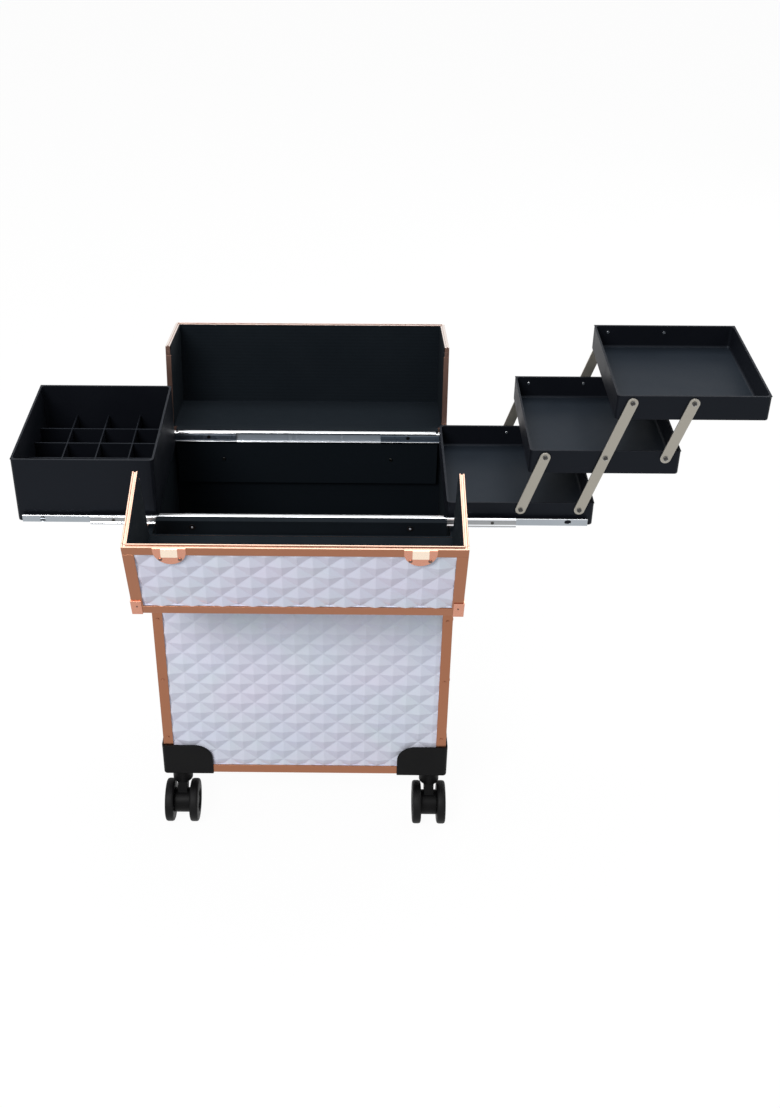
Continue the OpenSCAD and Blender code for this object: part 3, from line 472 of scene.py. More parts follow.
def domed_head(radius, height, dimple=0.0):
    """A rivet or screw head on the XY plane, with a dimple in its middle if asked."""
    bm = bmesh.new()
    bmesh.ops.create_circle(bm, cap_ends=True, radius=radius, segments=HEAD_SIDES)
    top = raised(bm, bm.faces[:], height)
    if dimple:
        bmesh.ops.inset_region(bm, faces=[top], thickness=radius * DIMPLE_EDGE)
        floor = Matrix.Diagonal((DIMPLE_FLOOR, DIMPLE_FLOOR, 1, 1))
        bmesh.ops.transform(
            bm, verts=list(top.verts), matrix=Matrix.Translation((0, 0, -dimple)) @ floor
        )
    bmesh.ops.recalc_face_normals(bm, faces=bm.faces)
    rim = [
        e for e in sharp_edges(bm)
        if all(v.co.z > height / 2 and v.co.xy.length > radius * HEAD_RIM for v in e.verts)
    ]
    round_edges(bm, rim, min(height * DOME_HEIGHT, radius * DOME_WIDTH))
    return bm


def heads(name, head, coat, body, places):
    """A piece made of equal rivet or screw heads at some places."""
    bm = bmesh.new()
    for place in places:
        join(bm, domed_head(*head), place)
    lay_grain(bm)
    piece(bm, name, [coat], body)


# Shader helpers

def fill(tree, node, inputs):
    """Gives a node its inputs, as values or as sockets to link."""
    for key, value in inputs.items():
        if isinstance(value, bpy.types.NodeSocket):
            tree.links.new(value, node.inputs[key])
        else:
            node.inputs[key].default_value = value


def add_node(tree, kind, inputs=None, **settings):
    """Adds a node with its settings and its inputs."""
    node = tree.nodes.new(kind)
    for name, value in settings.items():
        setattr(node, name, value)
    fill(tree, node, inputs or {})
    return node


def mix_colour(tree, factor, a, b):
    mix = add_node(
        tree, "ShaderNodeMix", {MIX_FACTOR: factor, MIX_A: a, MIX_B: b}, data_type="RGBA"
    )
    return mix.outputs[MIX_RESULT]


def calculate(tree, operation, *values):
    return add_node(
        tree, "ShaderNodeMath", dict(enumerate(values)), operation=operation
    ).outputs[0]


def spread(tree, value, low, high, to_low=0.0, to_high=1.0, steps="LINEAR"):
    """Maps a range of values to another."""
    return add_node(
        tree, "ShaderNodeMapRange",
        {"Value": value, "From Min": low, "From Max": high, "To Min": to_low, "To Max": to_high},
        interpolation_type=steps,
    ).outputs[0]


def object_place(tree):
    return add_node(tree, "ShaderNodeTexCoord").outputs["Object"]


def noise(tree, place, scale, detail=3.0, roughness=0.5):
    return add_node(
        tree, "ShaderNodeTexNoise",
        {"Vector": place, "Scale": scale, "Detail": detail, "Roughness": roughness},
    ).outputs["Fac"]


def shader_group(name, inputs, *outputs):
    """An empty shader node group, with the values that go in and out."""
    tree = bpy.data.node_groups.new(name, "ShaderNodeTree")
    for label, default in inputs.items():
        socket = tree.interface.new_socket(label, in_out="INPUT", socket_type="NodeSocketFloat")
        socket.default_value = default
    for label in outputs:
        tree.interface.new_socket(label, in_out="OUTPUT", socket_type="NodeSocketFloat")
    start = tree.nodes.new("NodeGroupInput")
    end = tree.nodes.new("NodeGroupOutput")
    return tree, start.outputs, end.inputs


def use_group(tree, make, **values):
    """Places a node group in a material, building it the first time."""
    name = make.__name__.replace("_", " ").capitalize()
    group = bpy.data.node_groups.get(name) or make(name)
    inputs = {key.replace("_", " ").capitalize(): value for key, value in values.items()}
    return add_node(tree, "ShaderNodeGroup", inputs, node_tree=group).outputs


def moulded_grain(name):
    """Fine pebbled skin of moulded plastic."""
    tree, given, made = shader_group(name, {"Scale": 1500.0}, "Height")
    place = object_place(tree)
    pebbles = add_node(
        tree, "ShaderNodeTexVoronoi", {"Vector": place, "Scale": given["Scale"]},
        feature="SMOOTH_F1",
    ).outputs["Distance"]
    fine = noise(tree, place, given["Scale"], roughness=0.6)
    tree.links.new(calculate(tree, "ADD", pebbles, fine), made["Height"])
    return tree


def soft_blotches(name):
    """Slow, uneven patches, as handling and cleaning leave them."""
    tree, given, made = shader_group(name, {"Scale": 20.0, "Low": 0.0, "High": 1.0}, "Value")
    cloud = noise(tree, object_place(tree), given["Scale"], detail=4.0, roughness=0.55)
    soft = spread(tree, cloud, 0.25, 0.75, steps="SMOOTHSTEP")
    tree.links.new(spread(tree, soft, 0.0, 1.0, given["Low"], given["High"]), made["Value"])
    return tree


def worn_edges(name):
    """A mask along edges, broken up as rubbing leaves it."""
    tree, given, made = shader_group(name, {"Radius": 0.0008, "Amount": 1.0}, "Mask")
    rounded = add_node(tree, "ShaderNodeBevel", {"Radius": given["Radius"]}, samples=6)
    flat = add_node(tree, "ShaderNodeNewGeometry").outputs["Normal"]
    likeness = add_node(
        tree, "ShaderNodeVectorMath", {0: rounded.outputs["Normal"], 1: flat},
        operation="DOT_PRODUCT",
    ).outputs["Value"]
    turned = spread(tree, likeness, 0.99, 0.8)
    rub = spread(tree, noise(tree, object_place(tree), 160.0), 0.35, 0.65, to_low=0.35)
    broken = calculate(tree, "MULTIPLY", turned, rub)
    tree.links.new(calculate(tree, "MULTIPLY", broken, given["Amount"]), made["Mask"])
    return tree


def drawn_lines(name):
    """Fine lines along a bar, as drawing and brushing leave them."""
    tree, given, made = shader_group(name, {"Along": 14.0, "Across": 2600.0}, "Height")
    grain = add_node(tree, "ShaderNodeAttribute", attribute_name="grain").outputs["Vector"]
    stretch = add_node(
        tree, "ShaderNodeCombineXYZ",
        {"X": given["Along"], "Y": given["Across"], "Z": given["Across"]},
    ).outputs[0]
    place = add_node(
        tree, "ShaderNodeVectorMath", {0: grain, 1: stretch}, operation="MULTIPLY"
    ).outputs["Vector"]
    tree.links.new(noise(tree, place, 1.0), made["Height"])
    return tree


def woven_cloth(name):
    """Plain weave seen on all sides of a lining."""
    tree, given, made = shader_group(name, {"Scale": 420.0}, "Height", "Shade")
    place = object_place(tree)
    threads = [
        add_node(
            tree, "ShaderNodeTexWave",
            {"Vector": place, "Scale": given["Scale"], "Distortion": 1.2, "Detail": 1.0},
            wave_type="BANDS", bands_direction=axis,
        ).outputs["Fac"]
        for axis in "XYZ"
    ]
    crossed = calculate(tree, "ADD", calculate(tree, "ADD", threads[0], threads[1]), threads[2])
    tree.links.new(crossed, made["Height"])
    tree.links.new(spread(tree, crossed, 0.6, 2.4), made["Shade"])
    return tree


def finish(name):
    """A material by its name in the list of finishes, made the first time it is asked for."""
    found = bpy.data.materials.get(name)
    if found:
        return found
    material = bpy.data.materials.new(name)
    material.use_nodes = True
    tree = material.node_tree
    make, *values = FINISHES[name]
    make(tree, tree.nodes["Principled BSDF"], bpy.context.scene.case_colours, *values)
    return material


def set_sockets(tree, shader, **values):
    """Sets or links a shader's inputs, by their names in lower case."""
    fill(tree, shader, {
        key.replace("_", " ").title().replace("Ior", "IOR"): value for key, value in values.items()
    })


def bump(tree, height, strength, distance):
    return add_node(
        tree, "ShaderNodeBump", {"Height": height, "Strength": strength, "Distance": distance}
    ).outputs["Normal"]


def patches(tree, scale, low=0.0, high=1.0):
    """A value that varies slowly over a piece."""
    return use_group(tree, soft_blotches, scale=scale, low=low, high=high)["Value"]


def rubbed(tree, tint, edge, radius, amount):
    """A colour that is rubbed to another one along the edges."""
    worn = use_group(tree, worn_edges, radius=radius, amount=amount)["Mask"]
    return mix_colour(tree, worn, tint, edge)


def shaded(tint, share):
    return [c * share for c in tint[:3]] + [1.0]


def pearl(tree, shader, colours):
    """Embossed plastic with a faint play of colours under a clear coat."""
    tint = mix_colour(tree, patches(tree, 17.0), colours.pearl, colours.pearl_cool)
    tint = mix_colour(tree, patches(tree, 9.0), tint, colours.pearl_warm)
    grain = use_group(tree, moulded_grain, scale=900.0)["Height"]
    set_sockets(
        tree, shader, base_color=tint, roughness=patches(tree, 6.0, low=0.24, high=0.3),
        normal=bump(tree, grain, strength=0.05, distance=0.0001), specular_ior_level=0.5,
        coat_weight=0.5, coat_roughness=0.05, thin_film_thickness=380.0, thin_film_ior=1.4,
    )


def anodised(tree, shader, colours, key, low, high, wear=0.7):
    """Anodised aluminium with its own colour and gloss, rubbed along its edges. Its paler and darker copies paint
    highlights and shade on the lids.
    """
    tint = rubbed(tree, getattr(colours, key), colours.rose_edge, radius=0.0007, amount=wear)
    lines = use_group(tree, drawn_lines)["Height"]
    set_sockets(
        tree, shader, base_color=tint, metallic=1.0, roughness=patches(tree, 45.0, low, high),
        normal=bump(tree, lines, strength=0.1, distance=0.00005),
    )


def cloth(tree, shader, colours):
    """Black woven lining."""
    weave = use_group(tree, woven_cloth)
    hollow = shaded(colours.lining, WEAVE_SHADE)
    set_sockets(
        tree, shader, base_color=mix_colour(tree, weave["Shade"], hollow, colours.lining),
        roughness=patches(tree, 14.0, low=0.72, high=0.88),
        normal=bump(tree, weave["Height"], strength=0.25, distance=0.00012),
        specular_ior_level=0.12, specular_tint=(0.75, 0.9, 1.0, 1.0),
    )


def tray_plastic(tree, shader, colours, key):
    """Black tray plastic with its own colour, a painted sheen for the floors, lighter along its rims by wear and a
    painted highlight.
    """
    tint = rubbed(tree, getattr(colours, key), colours.tray_edge, radius=0.001, amount=0.8)
    grain = use_group(tree, moulded_grain, scale=1400.0)["Height"]
    set_sockets(
        tree, shader, base_color=tint, roughness=patches(tree, 18.0, low=0.4, high=0.52),
        normal=bump(tree, grain, strength=0.14, distance=0.0001),
        specular_ior_level=0.15, specular_tint=(0.72, 0.84, 1.0, 1.0),
    )


def zinc(tree, shader, colours, key, low, high, metallic=1.0):
    """Zinc plate with its own colour and gloss, drawn lengthwise. The darker copies for the slides' webs paint
    their shade.
    """
    tint = getattr(colours, key)
    lines = use_group(tree, drawn_lines)["Height"]
    set_sockets(
        tree, shader, metallic=metallic, roughness=patches(tree, 60.0, low, high),
        base_color=mix_colour(tree, patches(tree, 40.0), shaded(tint, ZINC_SHADE), tint),
        normal=bump(tree, lines, strength=0.03, distance=0.00003),
    )


def nickel(tree, shader, colours):
    """Satin nickel of the folding arms."""
    tint = rubbed(tree, colours.nickel, colours.zinc, radius=0.0008, amount=0.5)
    lines = use_group(tree, drawn_lines)["Height"]
    set_sockets(
        tree, shader, base_color=tint, metallic=0.9,
        roughness=patches(tree, 50.0, low=0.36, high=0.48),
        normal=bump(tree, lines, strength=0.2, distance=0.00006),
    )


def steel(tree, shader, colours):
    """Dark steel of rivets and screws."""
    tint = rubbed(tree, colours.steel, colours.zinc, radius=0.0005, amount=0.8)
    gloss = patches(tree, 200.0, low=0.25, high=0.4)
    set_sockets(tree, shader, base_color=tint, metallic=1.0, roughness=gloss)


def black(tree, shader, colours, key, scale, low, high, strength, level):
    """A black moulded or lacquered finish with its own colour, grain and gloss, lighter along its edges by wear
    and a painted highlight.
    """
    tint = rubbed(tree, getattr(colours, key), colours.tray_edge, radius=0.0009, amount=0.5)
    grain = use_group(tree, moulded_grain, scale=scale)["Height"]
    set_sockets(
        tree, shader, base_color=tint, roughness=patches(tree, 24.0, low, high),
        normal=bump(tree, grain, strength, distance=0.00012), specular_ior_level=level,
    )


# Finishes by name: the function that makes each, and what it is given
FINISHES = {
    "Pearl panel": (pearl,),
    "Rose gold": (anodised, "rose_gold", 0.27, 0.37),
    "Rose gold cap": (anodised, "rose_cap", 0.24, 0.3),
    "Rose gold rim": (anodised, "rose_rim", 0.3, 0.38),
    "Rose gold tongue": (anodised, "rose_tongue", 0.22, 0.3),
    "Rose gold underside": (anodised, "rose_under", 0.4, 0.5, 0.05),
    "Polished gold": (anodised, "rose_polish", 0.18, 0.24),
    "Lining cloth": (cloth,),
    "Tray black": (tray_plastic, "tray"),
    "Tray floor": (tray_plastic, "tray_floor"),
    "Bright zinc": (zinc, "zinc", 0.2, 0.26),
    "Dull zinc": (zinc, "zinc_web", 0.3, 0.36),
    "Track zinc": (zinc, "zinc_track", 0.3, 0.36),
    "Oily zinc": (zinc, "zinc_shade", 0.2, 0.28, 0.3),
    "Greasy zinc": (zinc, "zinc_grease", 0.25, 0.32, 0.3),
    "Satin nickel": (nickel,),
    "Rivet steel": (steel,),
    "Moulded black": (black, "moulded", 1100.0, 0.42, 0.55, 0.22, 0.1),
    "Tyre black": (black, "tyre", 700.0, 0.48, 0.62, 0.12, 0.15),
    "Handle lacquer": (black, "lacquer", 2400.0, 0.26, 0.36, 0.05, 0.5),
}

# Finish of each lid's parting edge, a paler copy of the gold that paints its highlight
RIM_FINISH = {"front_lid": "Rose gold rim", "back_lid": "Rose gold tongue"}


# Pieces

def axes_at(along, up, out, origin):
    """A place with the given axes as its X, Y and Z."""
    return Matrix.Translation(origin) @ Matrix((along, up, out)).transposed().to_4x4()


def embossed_sheet(sizes, diamond, opening, outline, offset, thick, phase):
    """A panel in the XY plane: low pyramids in its opening, and a plain ledge around them."""
    w, h = opening
    count = math.ceil(w / diamond[0] + h / diamond[1]) + SPARE_ROWS
    count += 1 - count % 2
    bm = bmesh.new()
    bmesh.ops.create_grid(bm, x_segments=count, y_segments=count, size=count / 2)
    stretch = Matrix.Diagonal((*(Vector(diamond) / math.sqrt(2)), 1.0, 1.0))
    turn = Matrix.Rotation(math.radians(45), 4, "Z")
    move(bm, Matrix.Translation((*phase, 0.0)) @ stretch @ turn)
    bmesh.ops.poke(
        bm, faces=bm.faces[:], offset=sizes.diamond_rise + sizes.diamond_sink,
        center_mode="MEAN_WEIGHTED",
    )
    bmesh.ops.translate(bm, verts=bm.verts, vec=(0, 0, -sizes.diamond_sink))
    round_edges(bm, [e for e in bm.edges if e.is_manifold], sizes.ridge_round, segments=2)
    for normal, reach in ((X, w), (-X, w), (Y, h), (-Y, h)):
        bmesh.ops.bisect_plane(
            bm, geom=bm.verts[:] + bm.edges[:] + bm.faces[:], dist=WELD, clear_outer=True,
            plane_co=normal * reach / 2, plane_no=normal,
        )
    border = [e for e in bm.edges if e.is_boundary]
    steps = (
        (Matrix.Diagonal((1, 1, 0, 1)), (0, 0, -JOINT_GAP)),
        (Matrix.Diagonal((outline[0] / w, outline[1] / h, 1, 1)), (*offset, 0)),
        (Matrix.Identity(4), (0, 0, JOINT_GAP - thick)),
    )
    for shape, step in steps:
        grown = bmesh.ops.extrude_edge_only(bm, edges=border)["geom"]
        border = of_kind(grown, BMEdge)
        bmesh.ops.transform(
            bm, matrix=Matrix.Translation(step) @ shape, verts=of_kind(grown, BMVert)
        )
    bmesh.ops.holes_fill(bm, edges=border)
    bmesh.ops.recalc_face_normals(bm, faces=bm.faces)
    return bm


def panel(sizes, name, node, place, diamond, opening, outline, thick, tip):
    """An embossed panel, by the corners of its opening and outline on a place, and a tip there."""
    (x0, y0), (x1, y1) = opening
    (a0, b0), (a1, b1) = outline
    middle = Vector(((x0 + x1) / 2, (y0 + y1) / 2, 0))
    offset = ((a0 + a1) / 2 - middle.x, (b0 + b1) / 2 - middle.y)
    bm = embossed_sheet(
        sizes, diamond, (x1 - x0, y1 - y0), (a1 - a0, b1 - b0), offset, thick,
        (tip[0] - middle.x, tip[1] - middle.y),
    )
    move(bm, place @ Matrix.Translation(middle))
    piece(bm, name, ["Pearl panel"], BODY_OF[node], [node])


class CASE_OT_panels(bpy.types.Operator):
    """Embosses the panels of the body and of both lids"""

    bl_idname = "makeup_case.panels"
    bl_label = "Embossed panels"

    def execute(self, context):
        sizes = context.scene.case_sizes
        posts, base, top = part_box("corner_posts"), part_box("base_rails"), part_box("top_rails")
        bar = base[1].z - base[0].z
        low, high = base[1].z, top[0].z
        wide, deep = posts[1].x - bar, posts[1].y - bar
        diamond = (sizes.diamond_w, sizes.diamond_h)
        for node, along, out, reach in (
            ("front_panel", X, -Y, wide), ("back_panel", -X, Y, wide),
            ("left_panel", -Y, -X, deep), ("right_panel", Y, X, deep),
        ):
            lo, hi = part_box(node)
            half = abs((hi - lo).dot(along)) / 2
            face = out * max(lo.dot(out), hi.dot(out))
            panel(
                sizes, node + "_embossed", node, axes_at(along, Z, out, face), diamond,
                ((-reach, low), (reach, high)), ((-half, lo.z), (half, hi.z)),
                abs((hi - lo).dot(out)), BODY_TIP,
            )
        for lid, place in LIDS.items():
            self.lid(sizes, lid, place, bar)
        dress("bottom_panel", ["Pearl panel"], sizes.lining_edge)
        return {"FINISHED"}

    def lid(self, sizes, lid, place, bar):
        """The top, face and sides of a lid."""
        node = lid + "_panels"
        lo, hi = span(node_points(node, place))
        bars = span(node_points(lid + "_frame", place))
        rim = span(node_points(lid + "_rim", place))
        wide = bars[1].x - bar
        inner, outer = bars[0].y + bar, rim[0].y
        low, high = bars[0].z + bar, bars[1].z - bar
        under = hi.z - LID_SHEET - JOINT_GAP
        behind = lo.y + LID_SHEET + JOINT_GAP
        sheets = [
            (
                "top", axes_at(X, Y, Z, Z * hi.z), ((-wide, inner), (wide, outer)),
                ((lo.x, lo.y), (hi.x, hi.y)), (LID_TIP[0], inner - LID_TIP_DROP),
            ),
            (
                "face", axes_at(X, Z, -Y, Y * lo.y), ((-wide, low), (wide, high)),
                ((lo.x, lo.z), (hi.x, under)), LID_TIP,
            ),
        ]
        for name, side in (("left", -1), ("right", 1)):
            near, far = sorted((side * inner, side * outer))
            start, end = sorted((side * behind, side * hi.y))
            turn = axes_at(Y * side, Z, X * side, X * side * hi.x)
            sheets.append((
                name, turn, ((near, low), (far, high)), ((start, lo.z), (end, under)),
                (0.0, LID_TIP[1]),
            ))
        for name, turn, opening, outline, tip in sheets:
            panel(
                sizes, f"{lid}_{name}_embossed", node, place @ turn,
                (sizes.lid_diamond_w, sizes.lid_diamond_h), opening, outline, LID_SHEET, tip,
            )


class CASE_OT_frame(bpy.types.Operator):
    """Dresses the aluminium frame of the body and of both lids"""

    bl_idname = "makeup_case.frame"
    bl_label = "Aluminium frame"

    def execute(self, context):
        sizes = context.scene.case_sizes
        for node in ("base_rails", "corner_posts", "top_rails"):
            dress(node, ["Rose gold"], sizes.bar_edge)
        dress("frame_rivets", ["Rose gold"], sizes.bar_edge * 2, segments=3)
        for lid, place in LIDS.items():
            self.bars(sizes, lid, place)
            self.rim(sizes, lid, place)
            self.caps(sizes, lid)
            self.cap_rivets(lid, place)
        return {"FINISHED"}

    def bars(self, sizes, lid, place):
        """A lid's bars: cloth over the ends of their legs on the hinge side, and painted shade on their
        undersides.
        """
        end = span(node_points(lid + "_frame", place))[0].z + BAR_SHEET + WELD

        def cover(bm):
            for face in bm.faces:
                spot, normal = seen_from(place, face)
                inwards = max(normal.y, -normal.x * math.copysign(1, spot.x)) > FACING
                if inwards and spot.z < end:
                    face.material_index = 1
                elif normal.z < -FACING:
                    # Faces turned down take the darker copy of the gold: painted shade
                    face.material_index = 2

        dress(
            lid + "_frame", ["Rose gold", "Lining cloth", "Rose gold underside"],
            sizes.bar_edge, shape=cover,
        )

    def rim(self, sizes, lid, place):
        """A lid's rim with a painted highlight on its parting edge and painted shade on its undersides, and plugs
        in the painted shade colour in its two lower ends.
        """
        def polish(bm):
            for face in bm.faces:
                normal = seen_from(place, face)[1]
                # Faces turned to the parting edge take the painted highlight, faces turned down the painted shade
                face.material_index = 1 if normal.y > LEANING else 2 if normal.z < -FACING else 0

        dress(
            lid + "_rim", ["Rose gold", RIM_FINISH[lid], "Rose gold underside"],
            sizes.bar_edge, shape=polish,
        )
        lo, hi = span(node_points(lid + "_panels", place))
        low = span(node_points(lid + "_rim", place))[0]
        bm = bmesh.new()
        for side in (-1, 1):
            near = Vector((side * (hi.x - LID_SHEET), low.y, low.z))
            plug = block(near, Vector((side * hi.x, hi.y, lo.z)))
            soften(plug, sizes.bar_edge)
            join(bm, plug, place)
        lay_grain(bm)
        # The plugs take the painted shade colour
        piece(bm, lid + "_rim_plugs", ["Rose gold underside"], lid)

    def caps(self, sizes, lid):
        """A lid's corner caps, a little narrower than the solids."""
        node = lid + "_corners"
        inner = min(abs(p.x) for p in node_points(node))

        def narrow(bm):
            for vert in bm.verts:
                if abs(vert.co.x) < inner + WELD:
                    vert.co.x += math.copysign(sizes.cap_trim, vert.co.x)

        dress(node, ["Rose gold cap"], sizes.bar_edge, shape=narrow)

    def cap_rivets(self, lid, place):
        """One small rivet on each outer face of a lid's corner caps."""
        lo, hi = span(node_points(lid + "_corners", place))
        top = hi.z - CAP_INSET
        places = []
        for side in (-1, 1):
            x = side * (hi.x - CAP_INSET)
            places += [
                place @ facing((side * hi.x, lo.y + CAP_INSET, top), X * side),
                place @ facing((x, lo.y, top), -Y),
                place @ facing((x, lo.y + CAP_RISE, hi.z), Z),
            ]
        # The cap rivets take the painted shade colour
        heads(lid + "_cap_rivets", CAP_RIVET, "Rose gold underside", lid, places)


class CASE_OT_fittings(bpy.types.Operator):
    """Dresses the hinges, keepers, latches and hasps"""

    bl_idname = "makeup_case.fittings"
    bl_label = "Hinges and latches"

    def execute(self, context):
        sizes = context.scene.case_sizes
        for node in (
            "body_hinge_leaves", "hinge_pins", "front_lid_leaves", "back_lid_leaves",
            "latch_bases", "left_hasp", "right_hasp",
        ):
            dress(node, ["Rose gold"], sizes.fitting_edge)
        dress(
            "latch_keepers", ["Rose gold cap", "Polished gold", "Rose gold underside"],
            sizes.fitting_edge * 2, segments=3, shape=self.keeper_finishes,
        )
        return {"FINISHED"}

    def keeper_finishes(self, bm):
        """Paints a highlight on the lips of the keepers and paints shade on their rivets."""
        place = LIDS["front_lid"]
        lo, hi = span(node_points("latch_keepers", place))
        for face in bm.faces:
            spot, normal = seen_from(place, face)
            if spot.z > lo.z + LATCH_SHEET + WELD and normal.y < FACING:
                # Lips take the painted highlight, the rivets the painted shade
                face.material_index = 1 if spot.y > (lo.y + hi.y) / 2 else 2


class CASE_OT_linings(bpy.types.Operator):
    """Covers the inside of the case, the lids and the slide boards with black cloth"""

    bl_idname = "makeup_case.linings"
    bl_label = "Linings"

    def execute(self, context):
        sizes = context.scene.case_sizes
        for node in ("case_lining", "front_lid_lining", "back_lid_lining", "slide_boards"):
            dress(node, ["Lining cloth"], sizes.lining_edge)
        self.mouth_tape(sizes)
        return {"FINISHED"}

    def mouth_tape(self, sizes):
        """A thin black tape over the bars round the mouth."""
        hi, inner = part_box("top_rails")[1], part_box("case_lining")[1]
        wide, deep = hi.x - sizes.tape_inset, hi.y - sizes.tape_inset
        bm = bmesh.new()
        bmesh.ops.create_grid(bm, x_segments=1, y_segments=1, size=1.0)
        lift = Matrix.Translation((0, 0, hi.z + sizes.tape))
        move(bm, lift @ Matrix.Diagonal((wide, deep, 1, 1)))
        mouth = bm.faces[:]
        bmesh.ops.inset_region(
            bm, faces=mouth, thickness=wide - inner.x + LINING_SHEET, use_even_offset=True,
            use_boundary=True,
        )
        bmesh.ops.delete(bm, geom=mouth, context="FACES")
        raised(bm, bm.faces[:], -sizes.tape)
        bmesh.ops.recalc_face_normals(bm, faces=bm.faces)
        piece(bm, "mouth_tape", ["Lining cloth"], "case")


class CASE_OT_guards(bpy.types.Operator):
    """Rounds the black guards on the lower corners"""

    bl_idname = "makeup_case.guards"
    bl_label = "Corner guards"

    def execute(self, context):
        sizes = context.scene.case_sizes
        lo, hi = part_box("corner_guards")

        def on_corner(edge):
            mid = middle_of(edge)
            gaps = hi.x - abs(mid.x), hi.y - abs(mid.y), mid.z - lo.z
            return sum(gap < WELD for gap in gaps) > 1

        def corner(bm):
            edges = [e for e in bm.edges if on_corner(e)]
            round_edges(bm, edges, sizes.guard_corner, segments=4)

        for node, shape in (("corner_guards", corner), ("caster_plates", None)):
            dress(node, ["Moulded black"], sizes.guard_edge, shape=shape)
        return {"FINISHED"}


def punch(bm, centre, middle, width, height):
    """Cuts an eight-sided slot into an upright web, round a spot along X and Z."""
    reach = Vector((width / 2, 0, height / 2))
    spot = Vector((centre, 0, middle))
    for axis in (X, Z):
        for side in (-1, 0, 1):
            bmesh.ops.bisect_plane(
                bm, geom=bm.verts[:] + bm.edges[:] + bm.faces[:], dist=WELD,
                plane_co=spot + axis * axis.dot(reach) * side, plane_no=axis,
            )

    def offset(point):
        return abs(point.x - centre) - reach.x, abs(point.z - middle) - reach.z

    inside = [f for f in bm.faces if max(offset(f.calc_center_median())) < 0]
    bmesh.ops.delete(bm, geom=inside, context="FACES")
    cut = (1 - math.sqrt(0.5)) * min(reach.x, reach.z)
    for vert in bm.verts:
        if max(abs(gap) for gap in offset(vert.co)) < WELD:
            vert.co.x -= math.copysign(cut, vert.co.x - centre)
            vert.co.z -= math.copysign(cut, vert.co.z - middle)


def rolled_channel(sizes, x0, x1, path, centre, slots):
    """A slide member along X: a folded path of depths and heights, rolled bends, a slotted web."""
    low, high = min(z for y, z in path), max(z for y, z in path)
    half, middle = (high - low) / 2, (high + low) / 2
    bm = bmesh.new()
    verts = [bm.verts.new((x0, y, z)) for y, z in path]
    edges = [bm.edges.new(pair) for pair in zip(verts, verts[1:])]
    grown = bmesh.ops.extrude_edge_only(bm, edges=edges)["geom"]
    bmesh.ops.translate(bm, verts=of_kind(grown, BMVert), vec=(x1 - x0, 0, 0))

    def corner(edge):
        return all(abs(v.co.z - middle) > half - WELD for v in edge.verts)

    round_edges(bm, [e for e in sharp_edges(bm) if not corner(e)], sizes.track_roll)
    lip = min(abs(path[0][0] - path[1][0]), abs(path[-1][0] - path[-2][0]))
    roll = min(sizes.slide_roll, lip / 2)
    round_edges(bm, [e for e in sharp_edges(bm) if corner(e)], roll, segments=4)
    for drop, width, height in slots:
        punch(bm, centre, middle - drop, width, height)
    bmesh.ops.recalc_face_normals(bm, faces=bm.faces)
    bm.normal_update()
    web = max((f for f in bm.faces if abs(f.normal.y) > SQUARE), key=lambda f: f.calc_area())
    if web.normal.y * (path[0][0] - path[1][0]) > 0:
        bmesh.ops.reverse_faces(bm, faces=bm.faces)
    # Upright faces of the web take the second finish, a darker copy of the zinc that paints the shade on the web;
    # the lips keep the bright zinc
    for face in bm.faces:
        rise = abs(face.calc_center_median().z - middle)
        face.material_index = int(abs(face.normal.y) > WEB_FACING and rise < half - roll)
    return bm


def both_sides(node):
    """Each side of a node: its sign, its corners, and its Y far from the middle."""
    for side in (-1, 1):
        lo, hi = span(node_points(node, side=side))
        yield side, lo, hi, max(lo.y, hi.y, key=abs)


